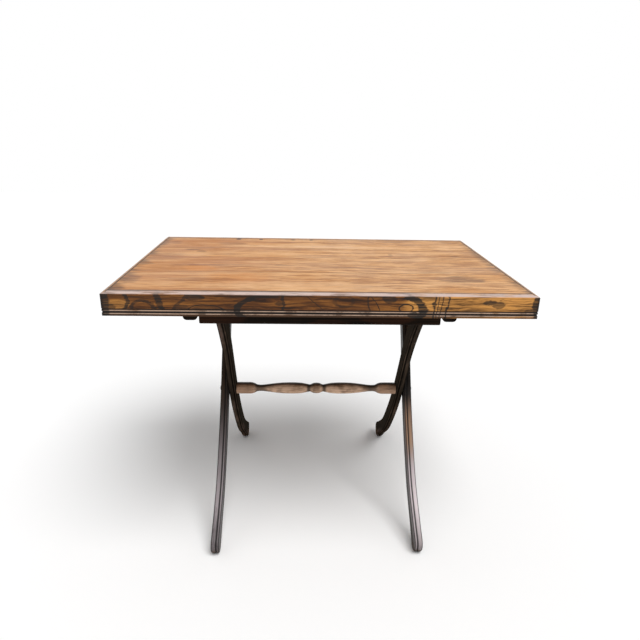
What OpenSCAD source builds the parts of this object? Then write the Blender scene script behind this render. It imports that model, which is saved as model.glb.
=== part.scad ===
// Folding occasional table: a framed board top on a pair of crossed sabre legs at each end.
// Millimetres. Origin on the floor under the middle of the top, X along the top's length,
// Y from the front to the back, Z up. The top is hinged on the inner legs' front rail and
// rests on the outer legs' rear rail. The legs turn on two bolts in the turned stretcher.

/* [Top] */
// Length of the top
top_w = 914; // [700:1:1200]
// Depth of the top, front to back
top_d = 606; // [560:1:700]
// Height of the upper face above the floor
top_h = 685; // [660:1:720]
// Thickness of the boards
board_t = 22; // [18:0.5:25]
// Depth of the moulded edging, top to bottom
edge_h = 49; // [46:0.5:60]
// Width of the front and back edging, seen from above
edge_w = 22; // [16:0.5:30]
// Width of the end edging, seen from above
end_edge_w = 10; // [7:0.5:15]
// Radius of the top's front corners, seen from above
corner_r = 4; // [3:0.5:10]
// Radius of the top's back corners, seen from above
back_corner_r = 10; // [4:0.5:12]

/* [Edge moulding] */
// Width of the rounded nosing along the upper arris
nosing_w = 9; // [5:0.5:10]
// Drop of the nosing at the outer face
nosing_drop = 3; // [1:0.5:4]
// Height of the fascia, nosing included
fascia_h = 33.5; // [28:0.5:36]
// Depth of the two quirks under the fascia
quirk_depth = 2; // [1:0.5:4]
// Height of the upper quirk
upper_quirk_h = 2; // [1:0.5:3]
// Height of the lower quirk
lower_quirk_h = 3.5; // [1:0.5:4]
// Radius of the upper bead
upper_bead_r = 1.8; // [1:0.1:2]
// Radius of the lower bead
lower_bead_r = 1.5; // [1:0.1:1.8]

/* [Underside] */
// Width of each end bearer
bearer_w = 33; // [32:1:42]
// Height of each end bearer
bearer_h = 68; // [63:1:72]
// Radius along the lower arrises of the bearers
bearer_round = 9; // [3:1:10]
// How far the bearers run past the front rail
bearer_front_over = 5; // [3:1:15]
// Thickness of the cleat that rests on the rear rail
cleat_t = 31; // [28:1:34]
// Width of the cleat
cleat_w = 44; // [38:1:60]
// Width of the stop strip behind the rear rail
strip_w = 20; // [14:1:26]
// How far the stop strip reaches down behind the rear rail
strip_lap = 20; // [10:1:30]

/* [Legs] */
// Thickness of a leg, across the table
leg_t = 20; // [19:0.5:26]
// Width of a leg at its upper end
leg_top_w = 50; // [40:1:54]
// Width of a leg at the crossing
leg_mid_w = 38; // [32:1:42]
// Width of a leg at the ankle
leg_ankle_w = 38; // [30:1:44]
// Radius of the rounded toe
toe_r = 25; // [20:1:28]
// How far the middle of an outer leg's toe stands out from the crossing
foot_reach = 270; // [240:1:275]
// The same for the inner legs, whose toes stand at the back
inner_foot_reach = 278; // [250:1:295]
// Height of the crossing above the floor
pivot_z = 320; // [300:1:340]
// Clear width between the inner faces of the inner legs
inner_gap = 444; // [380:1:450]
// Width of the broad reed down the front and back of a leg
broad_reed_w = 9; // [8:0.5:12]
// Width of the narrow reed beside it
narrow_reed_w = 3.5; // [2:0.5:4]
// Width of the sunk line between the two reeds
reed_line_w = 3.5; // [2:0.5:4]
// How far the reeds stand proud
reed_depth = 2; // [1:0.5:3]

/* [Rails] */
// Depth of each top rail, front to back
rail_d = 36; // [30:1:38]
// Height of each top rail
rail_h = 47; // [42:1:50]
// How far the middle of each rail stands out from the crossing
rail_reach = 189; // [180:1:195]
// Rounding along the arrises of a rail
rail_round = 3; // [1:0.5:6]
// How far the rails run past the outer legs
rail_over = 13; // [6:1:14]
// Air between the rail ends and the bearers
rail_end_gap = 2; // [1:0.5:4]
// Diameter of the dowels that hold the rails and legs together
dowel_d = 8; // [6:0.5:10]
// Length of the dowels
dowel_len = 24; // [18:1:28]

/* [Stretcher] */
// Diameter of the blocks at the stretcher's ends
block_d = 32; // [28:0.5:34]
// Diameter of the necks
neck_d = 17.5; // [15:0.5:20]
// Greatest diameter of the two long swellings
swell_d = 31; // [26:0.5:32]
// Diameter of the ball in the middle
ball_d = 29.5; // [26:0.5:32]

/* [Ironwork] */
// Diameter of the hinge pins in the front rail's ends
hinge_pin_d = 12; // [10:0.5:14]
// Depth of the hinge pins below the rail's upper face
hinge_pin_drop = 18; // [15:1:22]
// How far each hinge pin goes into its bearer
hinge_pin_in = 26; // [20:1:28]
// How far each hinge pin goes into the rail
hinge_pin_root = 30; // [24:1:36]
// Diameter of the pivot bolts
bolt_d = 8; // [6:0.5:10]
// Diameter of the pivot bolts' domed heads
bolt_head_d = 20; // [16:0.5:24]
// Height of the pivot bolts' domed heads
bolt_head_h = 4; // [3:0.5:6]
// How far each pivot bolt goes into the stretcher
bolt_in = 34; // [25:1:40]
// Thickness of the washers between the legs
washer_t = 1.6; // [1:0.1:2.5]
// Diameter of the washers
washer_d = 24; // [18:0.5:30]
// Diameter of the wood screws
screw_d = 5; // [4:0.5:6]
// Diameter of the screws' countersunk heads
screw_head_d = 10; // [8:0.5:12]
// Height of the screws' countersunk heads
screw_head_h = 3; // [2:0.5:4]
// How far the screws bite into the boards
screw_bite = 13; // [10:0.5:15]
// Diameter of the edging brads
brad_d = 2; // [1.5:0.1:3]
// Length of the edging brads
brad_len = 36; // [32:1:45]
// How far the brads are punched below the surface
brad_set = 1.5; // [0.5:0.5:2]

/* [Hidden] */

FINE = 96;
SMALL = 32;
// Overrun of a cutting shape past the face that it cuts
cut = 1;
// Radial clearance of a pin, bolt, screw or brad in its hole
run_clear = 0.08;
// Air between two faces that slide or rest on each other
seat_gap = 0.3;

// Heights
under_z = top_h - board_t;
rail_top_z = under_z - cleat_t - seat_gap;
rail_mid_z = rail_top_z - rail_h / 2;
bearer_z = under_z - bearer_h;
hinge_z = rail_top_z - hinge_pin_drop;
brad_z = top_h - board_t / 2;

// Places across the table
field_w = top_w - 2 * end_edge_w;
leg_gap = washer_t + seat_gap;
inner_leg_x = inner_gap / 2;
outer_leg_x = inner_leg_x + leg_t + leg_gap;
outer_face_x = outer_leg_x + leg_t;
rail_end_x = outer_face_x + rail_over;
bearer_x = rail_end_x + rail_end_gap;
bearer_mid_x = bearer_x + bearer_w / 2;

// Places from front to back
field_d = top_d - 2 * edge_w;
rail_face_y = rail_reach + rail_d / 2;
strip_y = rail_face_y + seat_gap;
bearer_front_y = -rail_face_y - bearer_front_over;
bearer_back_y = strip_y + strip_w;
bearer_len = bearer_back_y - bearer_front_y;

// Shares of the field's depth that the boards take, from the front
board_shares = [0.285, 0.275, 0.205, 0.235];
// Shares of a length at which its screws or brads stand, from the middle
bearer_screw_shares = [-0.31, -0.1, 0.1, 0.31];
cross_screw_shares = [-0.4, -0.14, 0.14, 0.4];
long_brad_shares = [-0.46, -0.24, 0.01, 0.25, 0.455];
end_brad_shares = [-0.42, 0.01, 0.41];
// Share of a tall piece's height that the screw pockets take
pocket_share = 0.5;

// Middle line of a leg, from the toe to the crossing: shares of the toe's reach and of the
// crossing's height
foot_shares = [[0.86, 0.165], [0.585, 0.35], [0.34, 0.59], [0.18, 0.772], [0.05, 0.94]];
// From the crossing to the upper end: shares of the rail's reach and of the rise to its top
arm_shares = [[0.19, 0.22], [0.42, 0.476], [0.72, 0.743], [1.06, 1], [1.13, 1.05]];
toe_flat = toe_r / 16;
toe_z = toe_r - toe_flat;
rise = rail_top_z - pivot_z;
function leg_knots(reach) = concat([[-reach, toe_z]],
    [for (s = foot_shares) [-reach * s[0], pivot_z * s[1]]],
    [for (s = arm_shares) [rail_reach * s[0], pivot_z + rise * s[1]]]);
leg_widths = [toe_r * 1.92, leg_ankle_w * 1.08, leg_ankle_w, leg_ankle_w,
    (leg_ankle_w + leg_mid_w) / 2, leg_mid_w, leg_mid_w, leg_mid_w,
    (leg_mid_w + leg_top_w) / 2, leg_top_w, leg_top_w];
leg_steps = 3;

// Outline of half the stretcher: shares of its half length with the radius there
turn_steps = 4;
turn_knots = [[0, ball_d / 2], [0.035, ball_d * 0.475], [0.065, ball_d * 0.38],
    [0.083, neck_d * 0.57], [0.105, swell_d * 0.35], [0.14, swell_d * 0.4],
    [0.19, swell_d * 0.463], [0.27, swell_d / 2], [0.36, swell_d * 0.498],
    [0.43, swell_d * 0.48], [0.51, (2 * swell_d + neck_d) / 6],
    [0.59, (swell_d + 2 * neck_d) / 6], [0.66, neck_d * 0.52], [0.71, neck_d / 2],
    [0.745, neck_d * 0.56], [0.765, block_d * 0.38], [0.785, block_d * 0.44],
    [0.81, block_d * 0.485], [0.83, block_d / 2]];

// Smooth curve through a list of points or numbers
function knot(list, i) = list[max(0, min(len(list) - 1, i))];
function between(a, b, c, d, t) =
    b + t / 2 * (c - a + t * (2 * a - 5 * b + 4 * c - d + t * (3 * b - a - 3 * c + d)));
function curve(list, steps) = concat(
    [for (i = [0 : len(list) - 2], j = [0 : steps - 1])
        between(knot(list, i - 1), list[i], list[i + 1], knot(list, i + 2), j / steps)],
    [list[len(list) - 1]]);
// Unit vector square to the line from a to b, on its left
function left_of(a, b) = [a[1] - b[1], b[0] - a[0]] / norm(b - a);
function side(line, widths, inset, sign) = [for (i = [0 : len(line) - 1])
    line[i] + sign * (widths[i] / 2 - inset) * left_of(knot(line, i - 1), knot(line, i + 1))];
function backwards(list) = [for (i = [len(list) - 1 : -1 : 0]) list[i]];
function sum_to(list, n) = n == 0 ? 0 : list[n - 1] + sum_to(list, n - 1);

function leg_line(reach) = curve(leg_knots(reach), leg_steps);
leg_line_w = curve(leg_widths, leg_steps);

// Puts its child on the right-hand side and its mirror image on the left
module both_ends() {
    children();
    mirror([1, 0, 0])
        children();
}

// Wood screw driven up from below, with its head on height head_z
module screw(head_z, clear = 0) {
    length = under_z + screw_bite - head_z;
    translate([0, 0, head_z])
        cylinder(d1 = screw_head_d + 2 * clear, d2 = screw_d + 2 * clear, h = screw_head_h,
            $fn = SMALL);
    translate([0, 0, head_z])
        cylinder(d = screw_d + 2 * clear, h = length + clear, $fn = SMALL);
}

// The hole for that screw, open down to height face_z
module screw_hole(head_z, face_z) {
    screw(head_z, run_clear);
    translate([0, 0, face_z - cut])
        cylinder(d = screw_head_d + 2 * run_clear, h = head_z - face_z + cut, $fn = SMALL);
}

// Places of the screws in the bearers, the cleat and the strip
module at_bearer_screws() {
    for (s = bearer_screw_shares)
        translate([bearer_mid_x, (bearer_front_y + bearer_back_y) / 2 + bearer_len * s, 0])
            children();
}

module at_cross_screws(y) {
    for (s = cross_screw_shares)
        translate([2 * bearer_x * s, y, 0])
            children();
}

bearer_head_z = bearer_z + bearer_h * pocket_share;
cleat_head_z = under_z - cleat_t + seat_gap;
strip_z = rail_top_z - strip_lap;
strip_head_z = strip_z + (under_z - strip_z) * pocket_share;
cleat_mid_y = strip_y - cleat_w / 2;
strip_mid_y = strip_y + strip_w / 2;

module all_screw_holes() {
    both_ends()
        at_bearer_screws()
        screw_hole(bearer_head_z, bearer_z);
    at_cross_screws(cleat_mid_y)
        screw_hole(cleat_head_z, under_z - cleat_t);
    at_cross_screws(strip_mid_y)
        screw_hole(strip_head_z, strip_z);
}

// Brads through the edging into the boards, all round
module brads(clear = 0) {
    reach = brad_len + brad_set;
    start = clear == 0 ? brad_set : -cut;
    for (turn = [0, 180])
        rotate([0, 0, turn]) {
            for (s = long_brad_shares)
                translate([top_w * s, start - top_d / 2, brad_z])
                    rotate([-90, 0, 0])
                    cylinder(d = brad_d + 2 * clear, h = reach - start + clear, $fn = SMALL);
            for (s = end_brad_shares)
                translate([start - top_w / 2, top_d * s, brad_z])
                    rotate([0, 90, 0])
                    cylinder(d = brad_d + 2 * clear, h = reach - start + clear, $fn = SMALL);
        }
}

module board(index) {
    color("peru")
        difference() {
            translate([-field_w / 2, field_d * (sum_to(board_shares, index) - 0.5), under_z])
                cube([field_w, field_d * board_shares[index], board_t]);
            all_screw_holes();
            brads(run_clear);
        }
}

// Section of the edging: X from the outer face inwards, Y up from the lower edge
module edging_section(width) {
    nosing_r = (pow(nosing_w, 2) + pow(nosing_drop, 2)) / (2 * nosing_drop);
    upper_quirk_y = edge_h - fascia_h - upper_quirk_h;
    upper_bead_y = upper_quirk_y - upper_bead_r;
    lower_quirk_y = upper_bead_y - upper_bead_r - lower_quirk_h;
    lower_bead_y = lower_quirk_y - lower_bead_r;
    difference() {
        square([width, edge_h]);
        translate([-cut, upper_quirk_y])
            square([cut + quirk_depth, upper_quirk_h]);
        translate([-cut, upper_bead_y - upper_bead_r])
            square([cut + upper_bead_r, 2 * upper_bead_r]);
        translate([-cut, lower_quirk_y])
            square([cut + quirk_depth, lower_quirk_h]);
        translate([-cut, lower_bead_y - lower_bead_r])
            square([cut + lower_bead_r, 2 * lower_bead_r]);
        difference() {
            translate([-cut, edge_h - 2 * nosing_drop])
                square([nosing_w + cut, 2 * nosing_drop + cut]);
            translate([-cut, 0])
                square([cut + nosing_w, edge_h - nosing_drop]);
            translate([nosing_w, edge_h - nosing_r])
                circle(r = nosing_r, $fn = 2 * FINE);
        }
    }
    translate([upper_bead_r, upper_bead_y])
        circle(r = upper_bead_r, $fn = SMALL);
    translate([lower_bead_r, lower_bead_y])
        circle(r = lower_bead_r, $fn = SMALL);
}

// A length of edging along X with its outer face on Y = 0, cut to the given plan
module edging_length(length, width, plan) {
    intersection() {
        rotate([90, 0, 90])
            translate([0, 0, -length / 2])
            linear_extrude(length)
            edging_section(width);
        translate([0, 0, -cut])
            linear_extrude(edge_h + 2 * cut)
            polygon(plan);
    }
}

// The space inside the top's rounded corners
module corner_rounding() {
    linear_extrude(top_h + cut)
        hull()
        for (sign = [-1, 1]) {
            translate([sign * (top_w / 2 - corner_r), corner_r - top_d / 2])
                circle(r = corner_r, $fn = FINE);
            translate([sign * (top_w / 2 - back_corner_r), top_d / 2 - back_corner_r])
                circle(r = back_corner_r, $fn = FINE);
        }
}

// Front edging at turn 0, back edging at turn 180
module long_edging(turn) {
    half = top_w / 2;
    plan = [[-half, 0], [half, 0], [half - end_edge_w, end_edge_w], [half - end_edge_w, edge_w],
        [end_edge_w - half, edge_w], [end_edge_w - half, end_edge_w]];
    color("saddlebrown")
        difference() {
            intersection() {
                rotate([0, 0, turn])
                    translate([0, -top_d / 2, top_h - edge_h])
                    edging_length(top_w, edge_w, plan);
                corner_rounding();
            }
            brads(run_clear);
        }
}

// Right edging at turn 90, left edging at turn 270
module end_edging(turn) {
    half = top_d / 2;
    plan = [[-half, 0], [half, 0], [half - end_edge_w, end_edge_w],
        [end_edge_w - half, end_edge_w]];
    color("saddlebrown")
        difference() {
            intersection() {
                rotate([0, 0, turn])
                    translate([0, -top_w / 2, top_h - edge_h])
                    edging_length(top_d, end_edge_w, plan);
                corner_rounding();
            }
            brads(run_clear);
        }
}

module edging_brads() {
    color("dimgray")
        brads();
}

// Right-hand bearer, with the hole for the hinge pin near its front end
module bearer() {
    low = bearer_w / 2 - bearer_round;
    difference() {
        translate([bearer_mid_x, bearer_back_y, bearer_z])
            rotate([90, 0, 0])
            linear_extrude(bearer_len)
            union() {
                translate([-bearer_w / 2, bearer_round])
                    square([bearer_w, bearer_h - bearer_round]);
                translate([-low, 0])
                    square([2 * low, bearer_h]);
                for (s = [-1, 1])
                    translate([s * low, bearer_round])
                        circle(r = bearer_round, $fn = FINE);
            }
        translate([bearer_x - cut, -rail_reach, hinge_z])
            rotate([0, 90, 0])
            cylinder(d = hinge_pin_d + 2 * run_clear, h = cut + hinge_pin_in + seat_gap,
                $fn = FINE);
        at_bearer_screws()
            screw_hole(bearer_head_z, bearer_z);
    }
}

module left_bearer() {
    color("dimgray")
        mirror([1, 0, 0])
        bearer();
}

module right_bearer() {
    color("dimgray")
        bearer();
}

module bearer_screws() {
    color("gray")
        both_ends()
        at_bearer_screws()
        screw(bearer_head_z);
}

// Bar across the underside between the bearers
module cross_bar(y, z, width) {
    color("dimgray")
        difference() {
            translate([-bearer_x, y, z])
                cube([2 * bearer_x, width, under_z - z]);
            all_screw_holes();
        }
}

module rear_cleat() {
    cross_bar(strip_y - cleat_w, under_z - cleat_t, cleat_w);
}

module stop_strip() {
    cross_bar(strip_y, strip_z, strip_w);
}

module cleat_screws() {
    color("gray")
        at_cross_screws(cleat_mid_y)
        screw(cleat_head_z);
}

module strip_screws() {
    color("gray")
        at_cross_screws(strip_mid_y)
        screw(strip_head_z);
}

// Rail at the front, with its rear half cut away where a leg at leg_x passes
module rail(leg_x) {
    round_y = rail_d / 2 - rail_round;
    round_z = rail_h / 2 - rail_round;
    difference() {
        translate([-rail_end_x, -rail_reach, rail_mid_z])
            rotate([90, 0, 90])
            linear_extrude(2 * rail_end_x)
            union() {
                square([rail_d, 2 * round_z], center = true);
                square([2 * round_y, rail_h], center = true);
                for (y = [-1, 1], z = [-1, 1])
                    translate([y * round_y, z * round_z])
                        circle(r = rail_round, $fn = SMALL);
            }
        both_ends()
            translate([leg_x, -rail_reach, rail_mid_z - rail_h / 2 - cut])
            cube([leg_t, rail_d, rail_h + 2 * cut]);
        rail_dowels(leg_x, run_clear);
    }
}

// Dowels through the halved joints of the front rail
module rail_dowels(leg_x, clear = 0) {
    both_ends()
        translate([leg_x + leg_t / 2, -rail_reach - dowel_len / 2 - clear, rail_mid_z])
        rotate([-90, 0, 0])
        cylinder(d = dowel_d + 2 * clear, h = dowel_len + 2 * clear, $fn = SMALL);
}

module front_rail() {
    color("dimgray")
        difference() {
            rail(inner_leg_x);
            both_ends()
                translate([rail_end_x - hinge_pin_root, -rail_reach, hinge_z])
                rotate([0, 90, 0])
                cylinder(d = hinge_pin_d + 2 * run_clear, h = hinge_pin_root + cut, $fn = FINE);
        }
}

module rear_rail() {
    color("dimgray")
        mirror([0, 1, 0])
        rail(outer_leg_x);
}

module front_rail_dowels() {
    color("tan")
        rail_dowels(inner_leg_x);
}

module rear_rail_dowels() {
    color("tan")
        mirror([0, 1, 0])
        rail_dowels(outer_leg_x);
}

module hinge_pin() {
    translate([rail_end_x - hinge_pin_root, -rail_reach, hinge_z])
        rotate([0, 90, 0])
        cylinder(d = hinge_pin_d, h = hinge_pin_root + rail_end_gap + hinge_pin_in, $fn = FINE);
}

module left_hinge_pin() {
    color("gray")
        mirror([1, 0, 0])
        hinge_pin();
}

module right_hinge_pin() {
    color("gray")
        hinge_pin();
}

// Side view of an outer leg whose toe stands out by reach, drawn in by inset all round but
// at the sole and the upper end
module leg_outline(reach, inset) {
    line = leg_line(reach);
    difference() {
        union() {
            polygon(concat(side(line, leg_line_w, inset, 1),
                backwards(side(line, leg_line_w, inset, -1))));
            translate([-reach, toe_z])
                circle(r = toe_r - inset, $fn = FINE);
        }
        translate([-2 * reach, -toe_r])
            square([2 * reach, toe_r]);
        translate([0, rail_top_z])
            square([2 * rail_reach, rail_h]);
        translate([rail_reach, rail_top_z - rail_h])
            square([rail_reach, 2 * rail_h]);
    }
}

// Outer leg standing on X = 0 and reaching to X = leg_t, its narrow reed on the low side
module leg(reach) {
    plain = (leg_t - broad_reed_w - narrow_reed_w - reed_line_w) / 2;
    rotate([90, 0, 90])
        linear_extrude(leg_t)
        leg_outline(reach, reed_depth);
    translate([plain, 0, 0])
        rotate([90, 0, 90])
        linear_extrude(narrow_reed_w)
        leg_outline(reach, 0);
    translate([plain + narrow_reed_w + reed_line_w, 0, 0])
        rotate([90, 0, 90])
        linear_extrude(broad_reed_w)
        leg_outline(reach, 0);
}

// Hole for the pivot bolt on the right-hand side
module bolt_hole() {
    translate([inner_leg_x - bolt_in - seat_gap, 0, pivot_z])
        rotate([0, 90, 0])
        cylinder(d = bolt_d + 2 * run_clear, h = outer_face_x - inner_leg_x + bolt_in + 2 * cut,
            $fn = FINE);
}

module outer_leg() {
    difference() {
        translate([outer_leg_x, 0, 0])
            leg(foot_reach);
        bolt_hole();
        mirror([0, 1, 0])
            rail_dowels(outer_leg_x, run_clear);
    }
}

module inner_leg() {
    difference() {
        translate([inner_leg_x, 0, 0])
            mirror([0, 1, 0])
            leg(inner_foot_reach);
        bolt_hole();
        rail_dowels(inner_leg_x, run_clear);
    }
}

module left_outer_leg() {
    color("dimgray")
        mirror([1, 0, 0])
        outer_leg();
}

module right_outer_leg() {
    color("dimgray")
        outer_leg();
}

module left_inner_leg() {
    color("dimgray")
        mirror([1, 0, 0])
        inner_leg();
}

module right_inner_leg() {
    color("dimgray")
        inner_leg();
}

module stretcher() {
    half = inner_leg_x;
    arm = [for (p = curve(turn_knots, turn_steps)) [p[1], p[0] * half]];
    right = concat(arm, [[block_d / 2, half]]);
    left = [for (p = backwards(right)) if (p[1] > 0) [p[0], -p[1]]];
    color("peru")
        difference() {
            translate([0, 0, pivot_z])
                rotate([0, 90, 0])
                rotate_extrude($fn = FINE)
                polygon(concat([[0, -half]], left, right, [[0, half]]));
            both_ends()
                bolt_hole();
        }
}

// Bolt with a domed head outside the outer leg, on the right-hand side
module pivot_bolt() {
    dome_r = (pow(bolt_head_d / 2, 2) + pow(bolt_head_h, 2)) / (2 * bolt_head_h);
    start = inner_leg_x - bolt_in;
    translate([start, 0, pivot_z])
        rotate([0, 90, 0])
        cylinder(d = bolt_d, h = outer_face_x + seat_gap - start, $fn = FINE);
    translate([outer_face_x + seat_gap, 0, pivot_z])
        rotate([0, 90, 0])
        rotate_extrude($fn = FINE)
        intersection() {
            translate([0, bolt_head_h - dome_r])
                circle(r = dome_r, $fn = 2 * FINE);
            square([bolt_head_d, bolt_head_h]);
        }
}

module left_pivot_bolt() {
    color("gray")
        mirror([1, 0, 0])
        pivot_bolt();
}

module right_pivot_bolt() {
    color("gray")
        pivot_bolt();
}

module washer() {
    translate([inner_leg_x + leg_t, 0, pivot_z])
        rotate([0, 90, 0])
        difference() {
            cylinder(d = washer_d, h = washer_t, $fn = FINE);
            translate([0, 0, -cut])
                cylinder(d = bolt_d + 2 * run_clear, h = washer_t + 2 * cut, $fn = FINE);
        }
}

module left_washer() {
    color("darkgray")
        mirror([1, 0, 0])
        washer();
}

module right_washer() {
    color("darkgray")
        washer();
}

board(0);  // board_1
board(1);  // board_2
board(2);  // board_3
board(3);  // board_4
long_edging(0);  // front_edging
long_edging(180);  // back_edging
end_edging(90);  // right_edging
end_edging(270);  // left_edging
edging_brads();
left_bearer();
right_bearer();
bearer_screws();
rear_cleat();
cleat_screws();
stop_strip();
strip_screws();
front_rail();
left_hinge_pin();
right_hinge_pin();
front_rail_dowels();
left_inner_leg();
right_inner_leg();
stretcher();
left_pivot_bolt();
right_pivot_bolt();
left_washer();
right_washer();
rear_rail();
rear_rail_dowels();
left_outer_leg();
right_outer_leg();
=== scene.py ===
"""Folding occasional table: board top in a moulded edging, crossed sabre legs, turned stretcher."""

import logging
import math
from contextlib import contextmanager
from dataclasses import dataclass, replace
from enum import Enum
from typing import Callable, Iterator, Optional, Sequence, Union

import bmesh
import bpy
from mathutils import Matrix, Vector


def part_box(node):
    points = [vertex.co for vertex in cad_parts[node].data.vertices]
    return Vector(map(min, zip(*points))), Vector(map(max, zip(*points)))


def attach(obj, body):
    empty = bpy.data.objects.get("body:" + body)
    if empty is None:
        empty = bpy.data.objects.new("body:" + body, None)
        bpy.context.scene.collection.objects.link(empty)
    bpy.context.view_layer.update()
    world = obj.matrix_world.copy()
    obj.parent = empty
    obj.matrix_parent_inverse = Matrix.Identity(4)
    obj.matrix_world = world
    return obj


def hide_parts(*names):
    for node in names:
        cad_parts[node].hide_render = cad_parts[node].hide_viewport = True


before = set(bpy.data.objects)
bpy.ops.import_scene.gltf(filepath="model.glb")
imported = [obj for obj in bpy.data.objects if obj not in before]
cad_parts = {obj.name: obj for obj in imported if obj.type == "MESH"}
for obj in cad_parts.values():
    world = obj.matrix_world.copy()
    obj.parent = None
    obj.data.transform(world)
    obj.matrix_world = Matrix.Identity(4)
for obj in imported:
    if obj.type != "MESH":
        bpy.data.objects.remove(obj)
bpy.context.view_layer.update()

LOG = logging.getLogger("folding_table")
MM = 0.001
WELD = 0.01 * MM

Socket = bpy.types.NodeSocket
Value = Union[float, Socket]
Tint = tuple[int, int, int]


class Body(Enum):
    """The three bodies that move against each other."""

    TOP = "table_top"
    INNER = "inner_frame"
    OUTER = "outer_frame"


class Slot(Enum):
    """The record's material slots."""

    TOP = "top_wood"
    EDGING = "edging_wood"
    DARK = "dark_wood"
    LEG = "leg_wood"
    TURNED = "turned_wood"
    DOWEL = "dowel_wood"
    IRON = "iron"
    SCREW = "screw_steel"


class Side(Enum):
    """The table's sides, with the quarter turns from the front."""

    FRONT = 0
    RIGHT = 1
    BACK = 2
    LEFT = 3


# Modelling


def deselect_all() -> None:
    """Leave edit mode and deselect everything."""
    if bpy.context.object is not None and bpy.context.object.mode != "OBJECT":
        bpy.ops.object.mode_set(mode="OBJECT")
    bpy.ops.object.select_all(action="DESELECT")


def make_active(piece: bpy.types.Object) -> None:
    """Select one piece alone and make it the active one."""
    deselect_all()
    piece.select_set(True)
    bpy.context.view_layer.objects.active = piece


def settle(piece: bpy.types.Object) -> None:
    """Move a piece's place, turn and scale into its mesh."""
    make_active(piece)
    bpy.ops.object.transform_apply(location=True, rotation=True, scale=True)


@contextmanager
def editing(piece: bpy.types.Object, pick: str = "VERT") -> Iterator[None]:
    """Open a piece in edit mode with nothing selected.

    Args:
        piece: The mesh to shape.
        pick: The select mode, VERT, EDGE or FACE.
    """
    make_active(piece)
    bpy.ops.object.mode_set(mode="EDIT")
    bpy.ops.mesh.select_mode(type=pick)
    bpy.ops.mesh.select_all(action="DESELECT")
    yield
    bpy.ops.object.mode_set(mode="OBJECT")


def choose(kind: str, test: Callable[[object], bool]) -> int:
    """Select the vertices, edges or faces that pass a test, and nothing else.

    Args:
        kind: verts, edges or faces.
        test: Says whether an element is wanted.

    Returns:
        How many were selected.
    """
    mesh = bpy.context.object.data
    shape = bmesh.from_edit_mesh(mesh)
    bpy.ops.mesh.select_all(action="DESELECT")
    count = 0
    for element in getattr(shape, kind):
        if test(element):
            element.select_set(True)
            count += 1
    shape.select_flush_mode()
    bmesh.update_edit_mesh(mesh)
    return count


def extrude(step: Vector) -> None:
    """Extrude what is selected by a step."""
    bpy.ops.mesh.extrude_region_move(TRANSFORM_OT_translate={"value": step})


def outward() -> None:
    """Turn all faces of the mesh in edit mode outwards."""
    bpy.ops.mesh.select_all(action="SELECT")
    bpy.ops.mesh.normals_make_consistent(inside=False)


def add_box(name: str, low: Vector, high: Vector) -> bpy.types.Object:
    """Add a box between two corners."""
    deselect_all()
    low, high = Vector(low), Vector(high)
    bpy.ops.mesh.primitive_cube_add(size=1, location=(low + high) / 2, scale=high - low)
    piece = bpy.context.object
    piece.name = name
    settle(piece)
    return piece


def apply_modifier(piece: bpy.types.Object, kind: str, **settings: object) -> None:
    """Add a modifier with its settings and apply it."""
    make_active(piece)
    modifier = piece.modifiers.new(kind.title(), kind)
    for key, value in settings.items():
        setattr(modifier, key, value)
    bpy.ops.object.modifier_apply(modifier=modifier.name)


def soften(piece: bpy.types.Object, width: float, angle: float = 40, segments: int = 2) -> None:
    """Round every arris that is sharper than an angle, in degrees."""
    apply_modifier(piece, "BEVEL", width=width, segments=segments, limit_method="ANGLE",
                   angle_limit=math.radians(angle), harden_normals=False)


def cut_away(piece: bpy.types.Object, cutter: bpy.types.Object) -> None:
    """Cut one mesh out of another and delete the cutter."""
    apply_modifier(piece, "BOOLEAN", operation="DIFFERENCE", object=cutter, solver="EXACT")
    bpy.data.objects.remove(cutter)


def trim(piece: bpy.types.Object, point: Vector, normal: Vector) -> None:
    """Cut off what lies in front of a plane, and close the cut."""
    with editing(piece):
        bpy.ops.mesh.select_all(action="SELECT")
        bpy.ops.mesh.bisect(plane_co=point, plane_no=normal, use_fill=True, clear_outer=True,
                            threshold=WELD / 10)


def weld(piece: bpy.types.Object) -> None:
    """Merge doubles and turn the faces outwards."""
    with editing(piece):
        bpy.ops.mesh.select_all(action="SELECT")
        bpy.ops.mesh.remove_doubles(threshold=WELD)
        outward()


def shade(piece: bpy.types.Object, angle: float = 35) -> None:
    """Shade smooth below an angle, in degrees."""
    make_active(piece)
    bpy.ops.object.shade_smooth_by_angle(angle=math.radians(angle))


def draw_section(name: str, points: Sequence[Vector]) -> bpy.types.Object:
    """Draw a closed section point by point and fill it with a face.

    Args:
        name: The new object's name.
        points: The corners in order.

    Returns:
        The object with one face.
    """
    deselect_all()
    bpy.ops.mesh.primitive_plane_add(size=MM, location=points[0])
    piece = bpy.context.object
    piece.name = name
    settle(piece)
    with editing(piece):
        bpy.ops.mesh.select_all(action="SELECT")
        bpy.ops.mesh.merge(type="CENTER")
        for here, there in zip(points, points[1:]):
            extrude(there - here)
        bpy.ops.mesh.select_all(action="SELECT")
        bpy.ops.mesh.edge_face_add()
    return piece


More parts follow.
